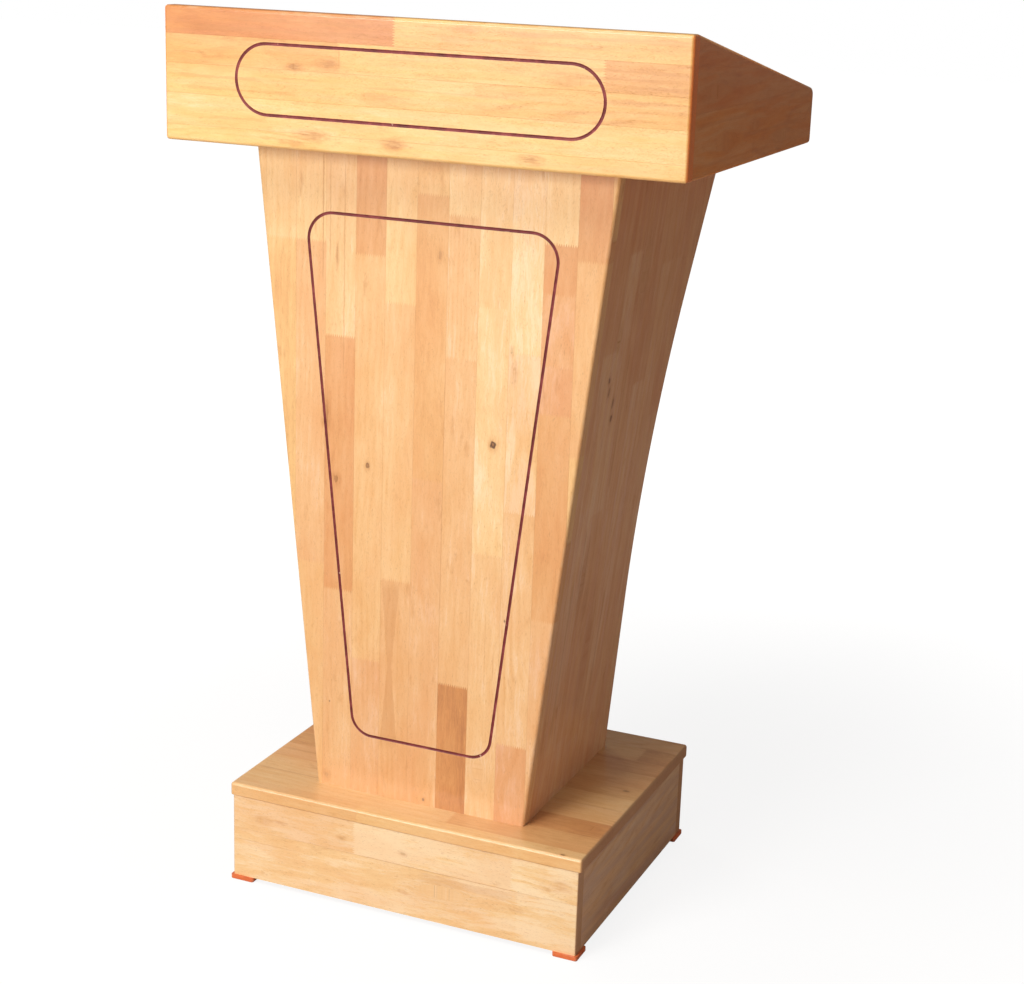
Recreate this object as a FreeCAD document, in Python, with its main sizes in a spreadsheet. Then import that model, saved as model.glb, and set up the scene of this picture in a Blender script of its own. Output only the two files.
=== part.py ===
import FreeCAD, Part
import Sketcher
import math
import os

# Presentation lectern of solid wood, millimetres, +Z up.
# X runs across the lectern, -Y is the side of the audience and +Y the side of the speaker.
# The origin is on the floor, in the middle of the lectern's outline.
# Three boxes stand on each other: the plinth, the column that widens upwards, and the head,
# whose reading board slopes down towards the speaker.

DRIVING_SIZES = {
    "board": 18,                     # thickness of every board
    "edge_round": 4,                 # rounding of the edges that a hand can touch
    "head_width": 678,
    "head_depth": 513,
    "fascia_height": 162,
    "rear_height": 72,               # height of the head on the speaker's side
    "rear_top_round": 12,
    "rear_bottom_round": 6,
    "reading_recess": 10,            # the reading board lies this far below the cheeks' edge
    "reading_cleat": 18,
    "column_height": 846,
    "column_setback": 54,            # the column's front lies this far behind the fascia's
    "column_bottom_width": 300,
    "column_top_width": 484,
    "side_bottom_depth": 298,        # depths of the column, measured from its front face
    "side_waist_depth": 262,
    "side_top_depth": 389,
    "side_waist_height": 450,        # where the two straights of the rear edge would meet
    "side_waist_radius": 1120,
    "column_floor_depth": 282,
    "column_top_depth": 365,
    "shelf_depth": 262,
    "lower_shelf_height": 276,       # undersides of the shelves above the plinth
    "upper_shelf_height": 552,
    "shelf_cleat": 18,
    "shelf_cleat_length": 210,
    "plinth_width": 506,
    "plinth_depth": 409,
    "plinth_height": 134,
    "plinth_side_step": 4,           # the top board stands proud of the aprons by these
    "plinth_front_step": 1,
    "block_side": 20,
    "block_height": 100,
    "foot_side": 34,
    "foot_height": 6,
    "foot_proud": 3,                 # the pads stand proud of the aprons by this
    "groove_radius": 2,
    "groove_floor": 0.7,             # depth of the painted surface below the board's face
    "fascia_line_length": 476,
    "fascia_line_height": 84,
    "panel_line_inset": 62,          # from the panel's edges, level
    "panel_line_top": 766,
    "panel_line_bottom": 82,
    "panel_line_top_radius": 34,
    "panel_line_bottom_radius": 29,
    "dowel_diameter": 8,
    "dowel_length": 30,
    "dowel_short_end": 10,           # the length of a dowel inside the thinner board
    "screw_diameter": 4,
    "screw_length": 30,
    "screw_head_diameter": 8,
    "screw_recess_width": 1.2,
    "screw_recess_length": 5,
    "screw_recess_depth": 1.6,
    "tack_diameter": 1.8,
    "tack_length": 14,
    "tack_head_diameter": 5,
    "tack_head_height": 1,
    "tack_sunk": 3,
}

# Places and lengths that more than one sub-part uses, as formulas of the sheet's cells.
HALF_HEAD = "(sizes.head_width / 2)"
REACH = "(sizes.foot_proud - sizes.plinth_front_step)"
FRONT = f"(({REACH} - sizes.head_depth) / 2)"
PLINTH_TOP = "(sizes.foot_height + sizes.plinth_height)"
COLUMN_FRONT = f"({FRONT} + sizes.column_setback)"
HEAD_BOTTOM = f"({PLINTH_TOP} + sizes.column_height)"
SPREAD = "((sizes.column_top_width - sizes.column_bottom_width) / 2 / sizes.column_height)"
SIDE_ACROSS = f"(sizes.board * sqrt(1 + {SPREAD} ^ 2))"
FALL = "((sizes.fascia_height - sizes.rear_height) / (sizes.head_depth - sizes.board))"
ALONG_FALL = f"sqrt(1 + {FALL} ^ 2)"
APRON_TOP = "(sizes.plinth_height - sizes.board)"
APRON_SIDE = "(sizes.plinth_width / 2 - sizes.plinth_side_step)"
APRON_BACK = "(sizes.plinth_depth - sizes.plinth_front_step)"

ALONG_Y = FreeCAD.Rotation(FreeCAD.Vector(1, 0, 0), -90)
ALONG_MINUS_Y = FreeCAD.Rotation(FreeCAD.Vector(1, 0, 0), 90)
ALONG_X = FreeCAD.Rotation(FreeCAD.Vector(0, 1, 0), 90)
ALONG_MINUS_X = FreeCAD.Rotation(FreeCAD.Vector(0, 1, 0), -90)
UPRIGHT = FreeCAD.Rotation()

doc = FreeCAD.newDocument("lectern")
sheet = doc.addObject("Spreadsheet::Sheet", "sizes")
sub_parts = []


def fill_sheet():
    for row, (name, value) in enumerate(DRIVING_SIZES.items(), start=1):
        sheet.set(f"A{row}", name)
        sheet.set(f"B{row}", str(value))
        sheet.setAlias(f"B{row}", name)
    doc.recompute()


def value(formula):
    """The number that a formula of the sheet's cells has now."""
    return float(sheet.evalExpression(str(formula)))


def keep(part, name):
    """Marks an object of the document as a sub-part with a file of its own."""
    part.Label = name
    sub_parts.append(part)
    return part


# ---- building blocks ---------------------------------------------------------------------

def outline(body, plane, corners, name="outline", arcs=None):
    """A closed sketch whose corners are formulas, on one of the body's origin planes.

    arcs gives a radius to the sides, counted from 0, that turn left as an arc instead of a straight.
    """
    arcs = arcs or {}
    sketch = body.newObject("Sketcher::SketchObject", name)
    origin_plane = [item for item in body.Origin.OriginFeatures if item.Role == plane][0]
    sketch.AttachmentSupport = [(origin_plane, "")]
    sketch.MapMode = "FlatFace"
    points = [FreeCAD.Vector(value(across), value(up), 0) for across, up in corners]
    for index, point in enumerate(points):
        following = points[(index + 1) % len(points)]
        if index in arcs:
            sketch.addGeometry(left_turning_arc(point, following, value(arcs[index])))
        else:
            sketch.addGeometry(Part.LineSegment(point, following))
    for index in range(len(points)):
        following = (index + 1) % len(points)
        sketch.addConstraint(Sketcher.Constraint("Coincident", index, 2, following, 1))
    for index, point in enumerate(points):
        for direction, start, formula in zip(("DistanceX", "DistanceY"), point, corners[index]):
            tie = sketch.addConstraint(Sketcher.Constraint(direction, -1, 1, index, 1, start))
            sketch.setExpression(f"Constraints[{tie}]", str(formula))
    for index, radius in arcs.items():
        tie = sketch.addConstraint(Sketcher.Constraint("Radius", index, value(radius)))
        sketch.setExpression(f"Constraints[{tie}]", radius)
    return sketch


def left_turning_arc(start, finish, radius):
    chord = finish - start
    left = FreeCAD.Vector(-chord.y, chord.x, 0).normalize()
    centre = (start + finish) / 2 + left * math.sqrt(radius ** 2 - (chord.Length / 2) ** 2)
    angles = [math.atan2(point.y - centre.y, point.x - centre.x) for point in (start, finish)]
    if angles[1] < angles[0]:
        angles[1] += 2 * math.pi
    return Part.ArcOfCircle(Part.Circle(centre, FreeCAD.Vector(0, 0, 1), radius), *angles)


def placed(part, base):
    """Binds an object's position to three formulas."""
    for axis, formula in zip("xyz", base):
        part.setExpression(f"Placement.Base.{axis}", str(formula))


def board_body(name, plane, corners, length, base):
    """A board: its outline padded by length. Sketches on XZ_Plane are padded towards +Y."""
    body = doc.addObject("PartDesign::Body", name)
    sketch = outline(body, plane, corners)
    pad = body.newObject("PartDesign::Pad", "pad")
    pad.Profile = sketch
    pad.Reversed = plane == "XZ_Plane"
    pad.setExpression("Length", str(length))
    placed(body, base)
    doc.recompute()
    return body


def rectangle(low_across, high_across, low_up, high_up):
    return [(low_across, low_up), (high_across, low_up), (high_across, high_up), (low_across, high_up)]


def rounded(body, radius, chosen):
    """Rounds the edges for which chosen(middle, direction) is true, in the body's own frame."""
    tip = body.Tip
    names = []
    for index, edge in enumerate(tip.Shape.Edges, start=1):
        if edge.Degenerated:
            continue
        middle = edge.valueAt((edge.FirstParameter + edge.LastParameter) / 2)
        direction = edge.tangentAt((edge.FirstParameter + edge.LastParameter) / 2)
        if chosen(middle, direction):
            names.append(f"Edge{index}")
    fillet = body.newObject("PartDesign::Fillet", "rounding")
    fillet.Base = (tip, names)
    fillet.setExpression("Radius", str(radius))
    doc.recompute()
    if "Invalid" in fillet.State:
        raise RuntimeError(f"{body.Label} cannot be rounded at {names}")


def near(first, second):
    return abs(first - second) < 0.01


def without(name, body, tools):
    """The sub-part that is left of a blank when the fasteners and grooves are taken out."""
    body.Label = f"{name}_blank"
    cutters = doc.addObject("Part::Compound", f"{name}_cutters")
    cutters.Links = tools
    cut = doc.addObject("Part::Cut", name)
    cut.Base = body
    cut.Tool = cutters
    doc.recompute()
    return keep(cut, name)


def fastener_group(name, fastener, bore, places):
    """Identical fasteners at (x, y, z, rotation); returns the bores that they need."""
    groups = []
    for kind, model in (("", fastener), ("_bores", bore)):
        links = []
        for index, (across, deep, up, turn) in enumerate(places):
            link = doc.addObject("App::Link", f"{name}{kind}_{index}")
            link.LinkedObject = model
            link.Placement = FreeCAD.Placement(FreeCAD.Vector(), turn)
            placed(link, (across, deep, up))
            links.append(link)
        group = doc.addObject("Part::Compound", name + kind)
        group.Links = links
        groups.append(group)
    doc.recompute()
    keep(groups[0], name)
    return groups[1]


def spaced(low, high, count):
    """Formulas of count places, evenly from low to high."""
    return [f"({low} + ({high} - {low}) * {index} / {count - 1})" for index in range(count)]


# ---- fasteners ---------------------------------------------------------------------------

def make_dowel():
    dowel = doc.addObject("Part::Cylinder", "dowel_blank")
    dowel.setExpression("Radius", "sizes.dowel_diameter / 2")
    dowel.setExpression("Height", "sizes.dowel_length")
    doc.recompute()
    chamfer = doc.addObject("Part::Chamfer", "dowel")
    chamfer.Base = dowel
    rims = [index for index, edge in enumerate(dowel.Shape.Edges, start=1) if edge.Closed]
    chamfer.Edges = [(index, 1.0, 1.0) for index in rims]
    doc.recompute()
    return chamfer


def make_screw():
    """A countersunk wood screw that points up from its head, and the same without its recess."""
    body = doc.addObject("PartDesign::Body", "screw_blank")
    head, shank = "sizes.screw_head_diameter / 2", "sizes.screw_diameter / 2"
    corners = [
        ("0", "0"),
        (head, "0"),
        (head, "0.4"),
        (shank, f"0.4 + {head} - {shank}"),
        (shank, "sizes.screw_length - 6"),
        ("0", "sizes.screw_length"),
    ]
    sketch = outline(body, "XZ_Plane", corners)
    turned = body.newObject("PartDesign::Revolution", "turned")
    turned.Profile = sketch
    turned.ReferenceAxis = (sketch, ["V_Axis"])
    turned.Angle = 360
    doc.recompute()
    slots = []
    for index in range(2):
        slot = doc.addObject("Part::Box", f"screw_recess_{index}")
        size = ("sizes.screw_recess_length", "sizes.screw_recess_width")
        slot.setExpression("Length", size[index])
        slot.setExpression("Width", size[1 - index])
        slot.setExpression("Height", "sizes.screw_recess_depth")
        placed(slot, (f"-{size[index]} / 2", f"-{size[1 - index]} / 2", "0"))
        slots.append(slot)
    cross = doc.addObject("Part::MultiFuse", "screw_recess")
    cross.Shapes = slots
    screw = doc.addObject("Part::Cut", "screw")
    screw.Base = body
    screw.Tool = cross
    doc.recompute()
    return screw, body


def make_tack():
    """A tack that points up from its head, and its bore with the sinking below the head."""
    shank = doc.addObject("Part::Cylinder", "tack_shank")
    shank.setExpression("Radius", "sizes.tack_diameter / 2")
    shank.setExpression("Height", "sizes.tack_length")
    head = doc.addObject("Part::Cylinder", "tack_head")
    head.setExpression("Radius", "sizes.tack_head_diameter / 2")
    head.setExpression("Height", "sizes.tack_head_height")
    sinking = doc.addObject("Part::Cylinder", "tack_sinking")
    sinking.setExpression("Radius", "sizes.tack_head_diameter / 2")
    sinking.setExpression("Height", "sizes.tack_sunk")
    placed(sinking, ("0", "0", "-sizes.tack_sunk"))
    tack = doc.addObject("Part::MultiFuse", "tack")
    tack.Shapes = [shank, head]
    bore = doc.addObject("Part::MultiFuse", "tack_bore")
    bore.Shapes = [tack, sinking]
    doc.recompute()
    return tack, bore


# ---- routed lines ------------------------------------------------------------------------

def rounded_path(corners, radii):
    """A closed wire in the XZ plane through corners that arcs of the given radii round off."""
    edges = []
    ends = []
    count = len(corners)
    for index, radius in enumerate(radii):
        corner = corners[index]
        back = (corners[index - 1] - corner).normalize()
        ahead = (corners[(index + 1) % count] - corner).normalize()
        half = back.getAngle(ahead) / 2
        middle = corner + (back + ahead).normalize() * (radius / math.sin(half) - radius)
        reach = radius / math.tan(half)
        ends.append((corner + back * reach, middle, corner + ahead * reach))
    for index, (start, middle, finish) in enumerate(ends):
        edges.append(Part.Arc(start, middle, finish).toShape())
        following = ends[(index + 1) % count][0]
        if (following - finish).Length > 0.01:
            edges.append(Part.LineSegment(finish, following).toShape())
    return Part.Wire(edges)


def routed_line(name, path, base):
    """The painted lining of a half-round groove along a path, and the groove's cutter."""
    radius = value("sizes.groove_radius")
    floor = value("sizes.groove_floor")
    start = path.Edges[-1].valueAt(path.Edges[-1].FirstParameter)
    along = path.Edges[-1].tangentAt(path.Edges[-1].FirstParameter)
    inwards = FreeCAD.Vector(0, 1, 0)
    sideways = along.cross(inwards)
    left, right = start - sideways * radius, start + sideways * radius
    bottom, surface = start + inwards * radius, start + inwards * floor
    lining = Part.Wire([Part.Arc(left, bottom, right).toShape(), Part.Arc(right, surface, left).toShape()])
    disc = Part.Wire([Part.Circle(start, along, radius).toShape()])
    shapes = []
    for profile in (lining, disc):
        ordered = Part.Wire(Part.sortEdges([path.Edges[-1]] + path.Edges[:-1])[0])
        shapes.append(ordered.makePipeShell([profile], True, False))
    line = doc.addObject("Part::Feature", name)
    line.Shape = shapes[0]
    placed(line, base)
    cutter = doc.addObject("Part::Feature", f"{name}_cutter")
    cutter.Shape = shapes[1]
    doc.recompute()
    keep(line, name)
    return cutter


# ---- head --------------------------------------------------------------------------------

def head_base(across="0"):
    return across, FRONT, HEAD_BOTTOM


def fall_height(deep, below="0"):
    """Height of the sloped edge of the cheeks at a depth, or of a line that lies below it."""
    return f"(sizes.fascia_height - ({below}) * {ALONG_FALL} - ({deep} - sizes.board) * {FALL})"


def make_fascia(bores):
    half = HALF_HEAD
    corners = rectangle(f"-{half}", half, "0", "sizes.fascia_height")
    body = board_body("fascia_blank", "XZ_Plane", corners, "sizes.board", head_base())
    rounded(body, "sizes.edge_round", lambda middle, way: near(middle.y, 0) or near(abs(way.y), 1))
    length, height = value("sizes.fascia_line_length") / 2, value("sizes.fascia_line_height") / 2
    centre = value("sizes.fascia_height") / 2
    turns = ((-1, 1), (1, 1), (1, -1), (-1, -1))
    points = [FreeCAD.Vector(across * length, 0, centre + up * height) for across, up in turns]
    path = rounded_path(points, [height] * 4)
    cutter = routed_line("fascia_groove_line", path, head_base())
    placed(cutter, head_base())
    without("fascia_board", body, [cutter] + bores)


def make_cheek(side, across, bores):
    rear = "sizes.head_depth"
    corners = [
        ("sizes.board", "0"),
        (rear, "0"),
        (rear, "sizes.rear_height"),
        ("sizes.board", "sizes.fascia_height"),
    ]
    body = board_body(f"{side}_cheek_blank", "YZ_Plane", corners, "sizes.board", head_base(across))
    depth, height = value(rear), value("sizes.rear_height")
    rounded(body, "sizes.rear_top_round", lambda middle, way: near(abs(way.x), 1) and near(middle.y, depth)
            and near(middle.z, height))
    rounded(body, "sizes.rear_bottom_round", lambda middle, way: near(abs(way.x), 1) and near(middle.y, depth)
            and near(middle.z, 0))
    outer = value("sizes.board") if side == "right" else 0
    front = value("sizes.board")
    rounded(body, "sizes.edge_round", lambda middle, way: near(middle.x, outer) and middle.y > front + 1)
    without(f"{side}_cheek", body, bores)


def make_head_floor(bores):
    half = f"({HALF_HEAD} - sizes.board)"
    corners = rectangle(f"-{half}", half, "sizes.board", "sizes.head_depth - sizes.board")
    body = board_body("head_floor_blank", "XY_Plane", corners, "sizes.board", head_base())
    without("head_floor", body, bores)


def make_reading_board():
    rear = "(sizes.head_depth - sizes.board)"
    lower = "sizes.reading_recess + sizes.board"
    corners = [
        ("sizes.board", fall_height("sizes.board", lower)),
        (rear, fall_height(rear, lower)),
        (rear, fall_height(rear, "sizes.reading_recess")),
        ("sizes.board", fall_height("sizes.board", "sizes.reading_recess")),
    ]
    width = "sizes.head_width - 2 * sizes.board"
    body = board_body("reading_board", "YZ_Plane", corners, width, head_base(f"sizes.board - {HALF_HEAD}"))
    keep(body, "reading_board")


def make_rear_rail(bores):
    """Above the reading board its front face is square to the board, so that papers lie flat against it."""
    front = "(sizes.head_depth - sizes.board)"
    rear = "sizes.head_depth"
    stop_top = f"({front} + sizes.reading_recess * {FALL} / {ALONG_FALL})"
    corners = [
        (front, "0"),
        (rear, "0"),
        (rear, "sizes.rear_height"),
        (stop_top, fall_height(stop_top)),
        (front, fall_height(front, "sizes.reading_recess")),
    ]
    width = "sizes.head_width - 2 * sizes.board"
    body = board_body("rear_rail_blank", "YZ_Plane", corners, width, head_base(f"sizes.board - {HALF_HEAD}"))
    depth, height = value(rear), value("sizes.rear_height")
    rounded(body, "sizes.rear_top_round", lambda middle, way: near(middle.y, depth) and near(middle.z, height)
            and near(abs(way.x), 1))
    rounded(body, "sizes.rear_bottom_round", lambda middle, way: near(middle.y, depth) and near(middle.z, 0)
            and near(abs(way.x), 1))
    without("rear_rail", body, bores)


def make_reading_cleat(side, across, screws):
    front, rear = "40", "(sizes.head_depth - 45)"
    upper = "sizes.reading_recess + sizes.board"
    lower = f"{upper} + sizes.reading_cleat"
    corners = [
        (front, fall_height(front, lower)),
        (rear, fall_height(rear, lower)),
        (rear, fall_height(rear, upper)),
        (front, fall_height(front, upper)),
    ]
    name = f"{side}_reading_cleat"
    body = board_body(f"{name}_blank", "YZ_Plane", corners, "sizes.reading_cleat", head_base(across))
    without(name, body, [screws])


def fascia_dowel_places():
    places = []
    deep = f"{FRONT} + sizes.board - sizes.dowel_short_end"
    for sign in (-1, 1):
        across = f"{sign} * ({HALF_HEAD} - sizes.board / 2)"
        for up in spaced("30", "(sizes.fascia_height - 30)", 3):
            places.append((across, deep, f"{HEAD_BOTTOM} + {up}", ALONG_Y))
    return places


def head_floor_dowel_places():
    inner = f"({HALF_HEAD} - sizes.board - sizes.dowel_length + sizes.dowel_short_end)"
    up = f"{HEAD_BOTTOM} + sizes.board / 2"
    places = []
    for deep in spaced("100", "412", 3):
        places.append((inner, f"{FRONT} + {deep}", up, ALONG_X))
        places.append((f"-{inner}", f"{FRONT} + {deep}", up, ALONG_MINUS_X))
    for across in spaced("-200", "200", 3):
        places.append((across, f"{FRONT} + sizes.board - sizes.dowel_short_end", up, ALONG_Y))
    return places


def rear_rail_dowel_places():
    inner = f"({HALF_HEAD} - sizes.board - sizes.dowel_length + sizes.dowel_short_end)"
    deep = f"{FRONT} + sizes.head_depth - sizes.board / 2"
    places = []
    for up in ("20", "50"):
        places.append((inner, deep, f"{HEAD_BOTTOM} + {up}", ALONG_X))
        places.append((f"-{inner}", deep, f"{HEAD_BOTTOM} + {up}", ALONG_MINUS_X))
    return places


def reading_cleat_screw_places():
    inner = f"({HALF_HEAD} - sizes.board - sizes.reading_cleat)"
    below = "sizes.reading_recess + sizes.board + sizes.reading_cleat / 2"
    places = []
    for deep in spaced("80", "430", 3):
        up = f"{HEAD_BOTTOM} + {fall_height(deep, below)}"
        places.append((inner, f"{FRONT} + {deep}", up, ALONG_X))
        places.append((f"-{inner}", f"{FRONT} + {deep}", up, ALONG_MINUS_X))
    return places


def make_head(dowel, screw, screw_bore, fixing_bores):
    fascia_bores = fastener_group("fascia_dowels", dowel, dowel, fascia_dowel_places())
    floor_bores = fastener_group("head_floor_dowels", dowel, dowel, head_floor_dowel_places())
    rail_bores = fastener_group("rear_rail_dowels", dowel, dowel, rear_rail_dowel_places())
    cleat_bores = fastener_group("reading_cleat_screws", screw, screw_bore, reading_cleat_screw_places())
    make_fascia([fascia_bores, floor_bores])
    cheek_bores = [fascia_bores, floor_bores, rail_bores, cleat_bores]
    make_cheek("left", f"-{HALF_HEAD}", cheek_bores)
    make_cheek("right", f"{HALF_HEAD} - sizes.board", cheek_bores)
    make_head_floor([floor_bores, fixing_bores])
    make_reading_board()
    make_rear_rail([rail_bores])
    inner = f"({HALF_HEAD} - sizes.board)"
    make_reading_cleat("left", f"-{inner}", cleat_bores)
    make_reading_cleat("right", f"{inner} - sizes.reading_cleat", cleat_bores)


# ---- column ------------------------------------------------------------------------------

def column_base(deep="0"):
    return "0", f"{COLUMN_FRONT} + {deep}", PLINTH_TOP


def outer_half(up):
    """Half of the column's width at a height above the plinth."""
    return f"(sizes.column_bottom_width / 2 + {SPREAD} * ({up}))"


def inner_half(up):
    return f"({outer_half(up)} - {SIDE_ACROSS})"


def make_front_panel(bores):
    top = "sizes.column_height"
    corners = [
        (f"-{outer_half('0')}", "0"),
        (outer_half("0"), "0"),
        (outer_half(top), top),
        (f"-{outer_half(top)}", top),
    ]
    body = board_body("front_panel_blank", "XZ_Plane", corners, "sizes.board", column_base())
    rounded(body, "sizes.edge_round", lambda middle, way: near(middle.y, 0) and abs(way.z) > 0.9)
    points = []
    for sign, up in ((-1, "top"), (1, "top"), (1, "bottom"), (-1, "bottom")):
        height = f"sizes.panel_line_{up}"
        across = sign * value(f"{outer_half(height)} - sizes.panel_line_inset")
        points.append(FreeCAD.Vector(across, 0, value(height)))
    top_radius, bottom_radius = value("sizes.panel_line_top_radius"), value("sizes.panel_line_bottom_radius")
    path = rounded_path(points, [top_radius, top_radius, bottom_radius, bottom_radius])
    cutter = routed_line("front_panel_groove_line", path, column_base())
    placed(cutter, column_base())
    without("front_panel", body, [cutter] + bores)


def waist_tangent(end_depth, rise, sign):
    """Where the hollow curve of a side panel's rear edge meets the upper or the lower straight."""
    lower_lean = "atan((sizes.side_bottom_depth - sizes.side_waist_depth) / sizes.side_waist_height)"
    upper_rise = "(sizes.column_height - sizes.side_waist_height)"
    upper_lean = f"atan((sizes.side_top_depth - sizes.side_waist_depth) / {upper_rise})"
    reach = f"(sizes.side_waist_radius * tan(({lower_lean} + {upper_lean}) / 2))"
    lean = f"(({end_depth} - sizes.side_waist_depth) / {rise})"
    share = f"({reach} / sqrt(1 + {lean} ^ 2))"
    deep = f"(sizes.side_waist_depth - sizes.board + {share} * {lean})"
    return deep, f"(sizes.side_waist_height + {sign} * {share})"


def make_side_panel(side, bores):
    """A splayed board whose rear edge is two straights with a wide hollow curve between."""
    sign = "-1" if side == "left" else "1"
    top = "sizes.column_height"
    corners = [
        (f"{sign} * {inner_half('0')}", "0"),
        (f"{sign} * {outer_half('0')}", "0"),
        (f"{sign} * {outer_half(top)}", top),
        (f"{sign} * {inner_half(top)}", top),
    ]
    depth = "sizes.side_top_depth - sizes.board"
    body = board_body(f"{side}_side_panel_blank", "XZ_Plane", corners, depth, column_base("sizes.board"))
    full = body.Shape.Volume
    beyond = "(sizes.side_top_depth + sizes.board)"
    rear = [
        (beyond, "0"),
        (beyond, top),
        (depth, top),
        waist_tangent("sizes.side_top_depth", f"({top} - sizes.side_waist_height)", 1),
        waist_tangent("sizes.side_bottom_depth", "sizes.side_waist_height", -1),
        ("sizes.side_bottom_depth - sizes.board", "0"),
    ]
    pocket = body.newObject("PartDesign::Pocket", "rear_edge")
    pocket.Profile = outline(body, "YZ_Plane", rear, "rear_outline", {3: "sizes.side_waist_radius"})
    pocket.Type = "ThroughAll"
    pocket.Midplane = True
    doc.recompute()
    if body.Shape.Volume > 0.95 * full:
        raise RuntimeError(f"the rear edge of the {side} side panel was not cut")
    front_limit = value("sizes.side_waist_depth - 2 * sizes.board")
    rounded(body, "sizes.edge_round", lambda middle, way: middle.y > front_limit and abs(way.z) > 0.9)
    without(f"{side}_side_panel", body, bores)


def make_column_board(name, underside, depth, bores):
    """A level board between the side panels, its ends bevelled to their splay."""
    upper = f"({underside} + sizes.board)"
    corners = [
        (f"-{inner_half(underside)}", underside),
        (inner_half(underside), underside),
        (inner_half(upper), upper),
        (f"-{inner_half(upper)}", upper),
    ]
    length = f"{depth} - sizes.board"
    body = board_body(f"{name}_blank", "XZ_Plane", corners, length, column_base("sizes.board"))
    limit = value(length)
    rounded(body, "sizes.edge_round / 2", lambda middle, way: near(middle.y, limit) and near(abs(way.x), 1))
    if bores:
        without(name, body, bores)
    else:
        keep(body, name)


def make_shelf_cleat(name, sign, underside, bores):
    lower = f"({underside} - sizes.shelf_cleat)"
    inside = f"({inner_half(lower)} - sizes.shelf_cleat)"
    corners = [
        (f"{sign} * {inside}", lower),
        (f"{sign} * {inner_half(lower)}", lower),
        (f"{sign} * {inner_half(underside)}", underside),
        (f"{sign} * {inside}", underside),
    ]
    start = "(sizes.board + 12)"
    body = board_body(f"{name}_blank", "XZ_Plane", corners, "sizes.shelf_cleat_length", column_base(start))
    without(name, body, [bores])


def panel_dowel_places():
    places = []
    for sign in (-1, 1):
        for up in spaced("70", "770", 6):
            across = f"{sign} * ({outer_half(up)} - {SIDE_ACROSS} / 2)"
            deep = f"{COLUMN_FRONT} + sizes.board - sizes.dowel_short_end"
            places.append((across, deep, f"{PLINTH_TOP} + {up}", ALONG_Y))
    return places


def column_board_dowel_places():
    """Dowels between the side panels and the two end boards of the column."""
    places = []
    ends = (("sizes.board / 2", "sizes.column_floor_depth"),
            ("(sizes.column_height - sizes.board / 2)", "sizes.column_top_depth"))
    for up, depth in ends:
        inner = f"({inner_half(up)} - sizes.dowel_length + sizes.dowel_short_end)"
        for deep in spaced("(sizes.board + 35)", f"({depth} - 35)", 3):
            place = (f"{COLUMN_FRONT} + {deep}", f"{PLINTH_TOP} + {up}")
            places.append((inner, *place, ALONG_X))
            places.append((f"-{inner}", *place, ALONG_MINUS_X))
    return places


def shelf_cleat_screw_places():
    places = []
    for shelf in ("sizes.lower_shelf_height", "sizes.upper_shelf_height"):
        inside = f"({inner_half(f'{shelf} - sizes.shelf_cleat')} - sizes.shelf_cleat)"
        up = f"{PLINTH_TOP} + {shelf} - sizes.shelf_cleat / 2"
        for deep in spaced("55", "215", 3):
            places.append((inside, f"{COLUMN_FRONT} + {deep}", up, ALONG_X))
            places.append((f"-{inside}", f"{COLUMN_FRONT} + {deep}", up, ALONG_MINUS_X))
    return places


def upright_screw_places(half_spread, depths, up):
    """Screws driven upwards in three columns and two rows."""
    places = []
    for across in (f"-{half_spread}", "0", half_spread):
        for deep in depths:
            places.append((across, f"{COLUMN_FRONT} + {deep}", up, UPRIGHT))
    return places


def make_column(dowel, screw, screw_bore, head_bores, foot_bores):
    panel_bores = fastener_group("front_panel_dowels", dowel, dowel, panel_dowel_places())
    end_bores = fastener_group("column_board_dowels", dowel, dowel, column_board_dowel_places())
    cleat_bores = fastener_group("shelf_cleat_screws", screw, screw_bore, shelf_cleat_screw_places())
    make_front_panel([panel_bores])
    for side in ("left", "right"):
        make_side_panel(side, [panel_bores, end_bores, cleat_bores])
    make_column_board("column_bottom_board", "0", "sizes.column_floor_depth", [end_bores, foot_bores])
    make_column_board("column_top_board", "(sizes.column_height - sizes.board)", "sizes.column_top_depth",
                      [end_bores, head_bores])
    for shelf in ("lower", "upper"):
        underside = f"sizes.{shelf}_shelf_height"
        make_column_board(f"{shelf}_shelf", underside, "sizes.shelf_depth", [])
        for side, sign in (("left", -1), ("right", 1)):
            make_shelf_cleat(f"{shelf}_shelf_{side}_cleat", sign, underside, cleat_bores)


# ---- plinth ------------------------------------------------------------------------------

def plinth_base(across="0", deep="0", up="0"):
    return across, f"{FRONT} + {deep}", f"sizes.foot_height + {up}"


def make_plinth_top(bores):
    half = "sizes.plinth_width / 2"
    corners = rectangle(f"-{half}", half, "0", "sizes.plinth_depth")
    body = board_body("plinth_top_blank", "XY_Plane", corners, "sizes.board", plinth_base(up=APRON_TOP))
    thickness = value("sizes.board")
    rounded(body, "sizes.edge_round", lambda middle, way: near(middle.z, thickness) or near(abs(way.z), 1))
    rounded(body, "sizes.edge_round / 2", lambda middle, way: near(middle.z, 0))
    without("plinth_top_board", body, bores)


def make_apron(name, low_across, high_across, low_deep, high_deep, bores):
    corners = rectangle(low_across, high_across, low_deep, high_deep)
    body = board_body(f"{name}_blank", "XY_Plane", corners, APRON_TOP, plinth_base())
    half = value(APRON_SIDE)
    if "side" not in name:
        outer = value(low_deep if "front" in name else high_deep)
        rounded(body, "sizes.edge_round / 2", lambda middle, way: near(middle.y, outer) and
                near(abs(middle.x), half) and near(abs(way.z), 1))
    without(name, body, bores)


def corner_signs():
    for deep_name, deep_sign in (("front", -1), ("back", 1)):
        for side, across_sign in (("left", -1), ("right", 1)):
            yield f"{deep_name}_{side}", across_sign, deep_sign


MIDDLE = "(sizes.plinth_depth / 2)"
HALF_DEEP = f"({MIDDLE} - sizes.plinth_front_step)"


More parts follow.
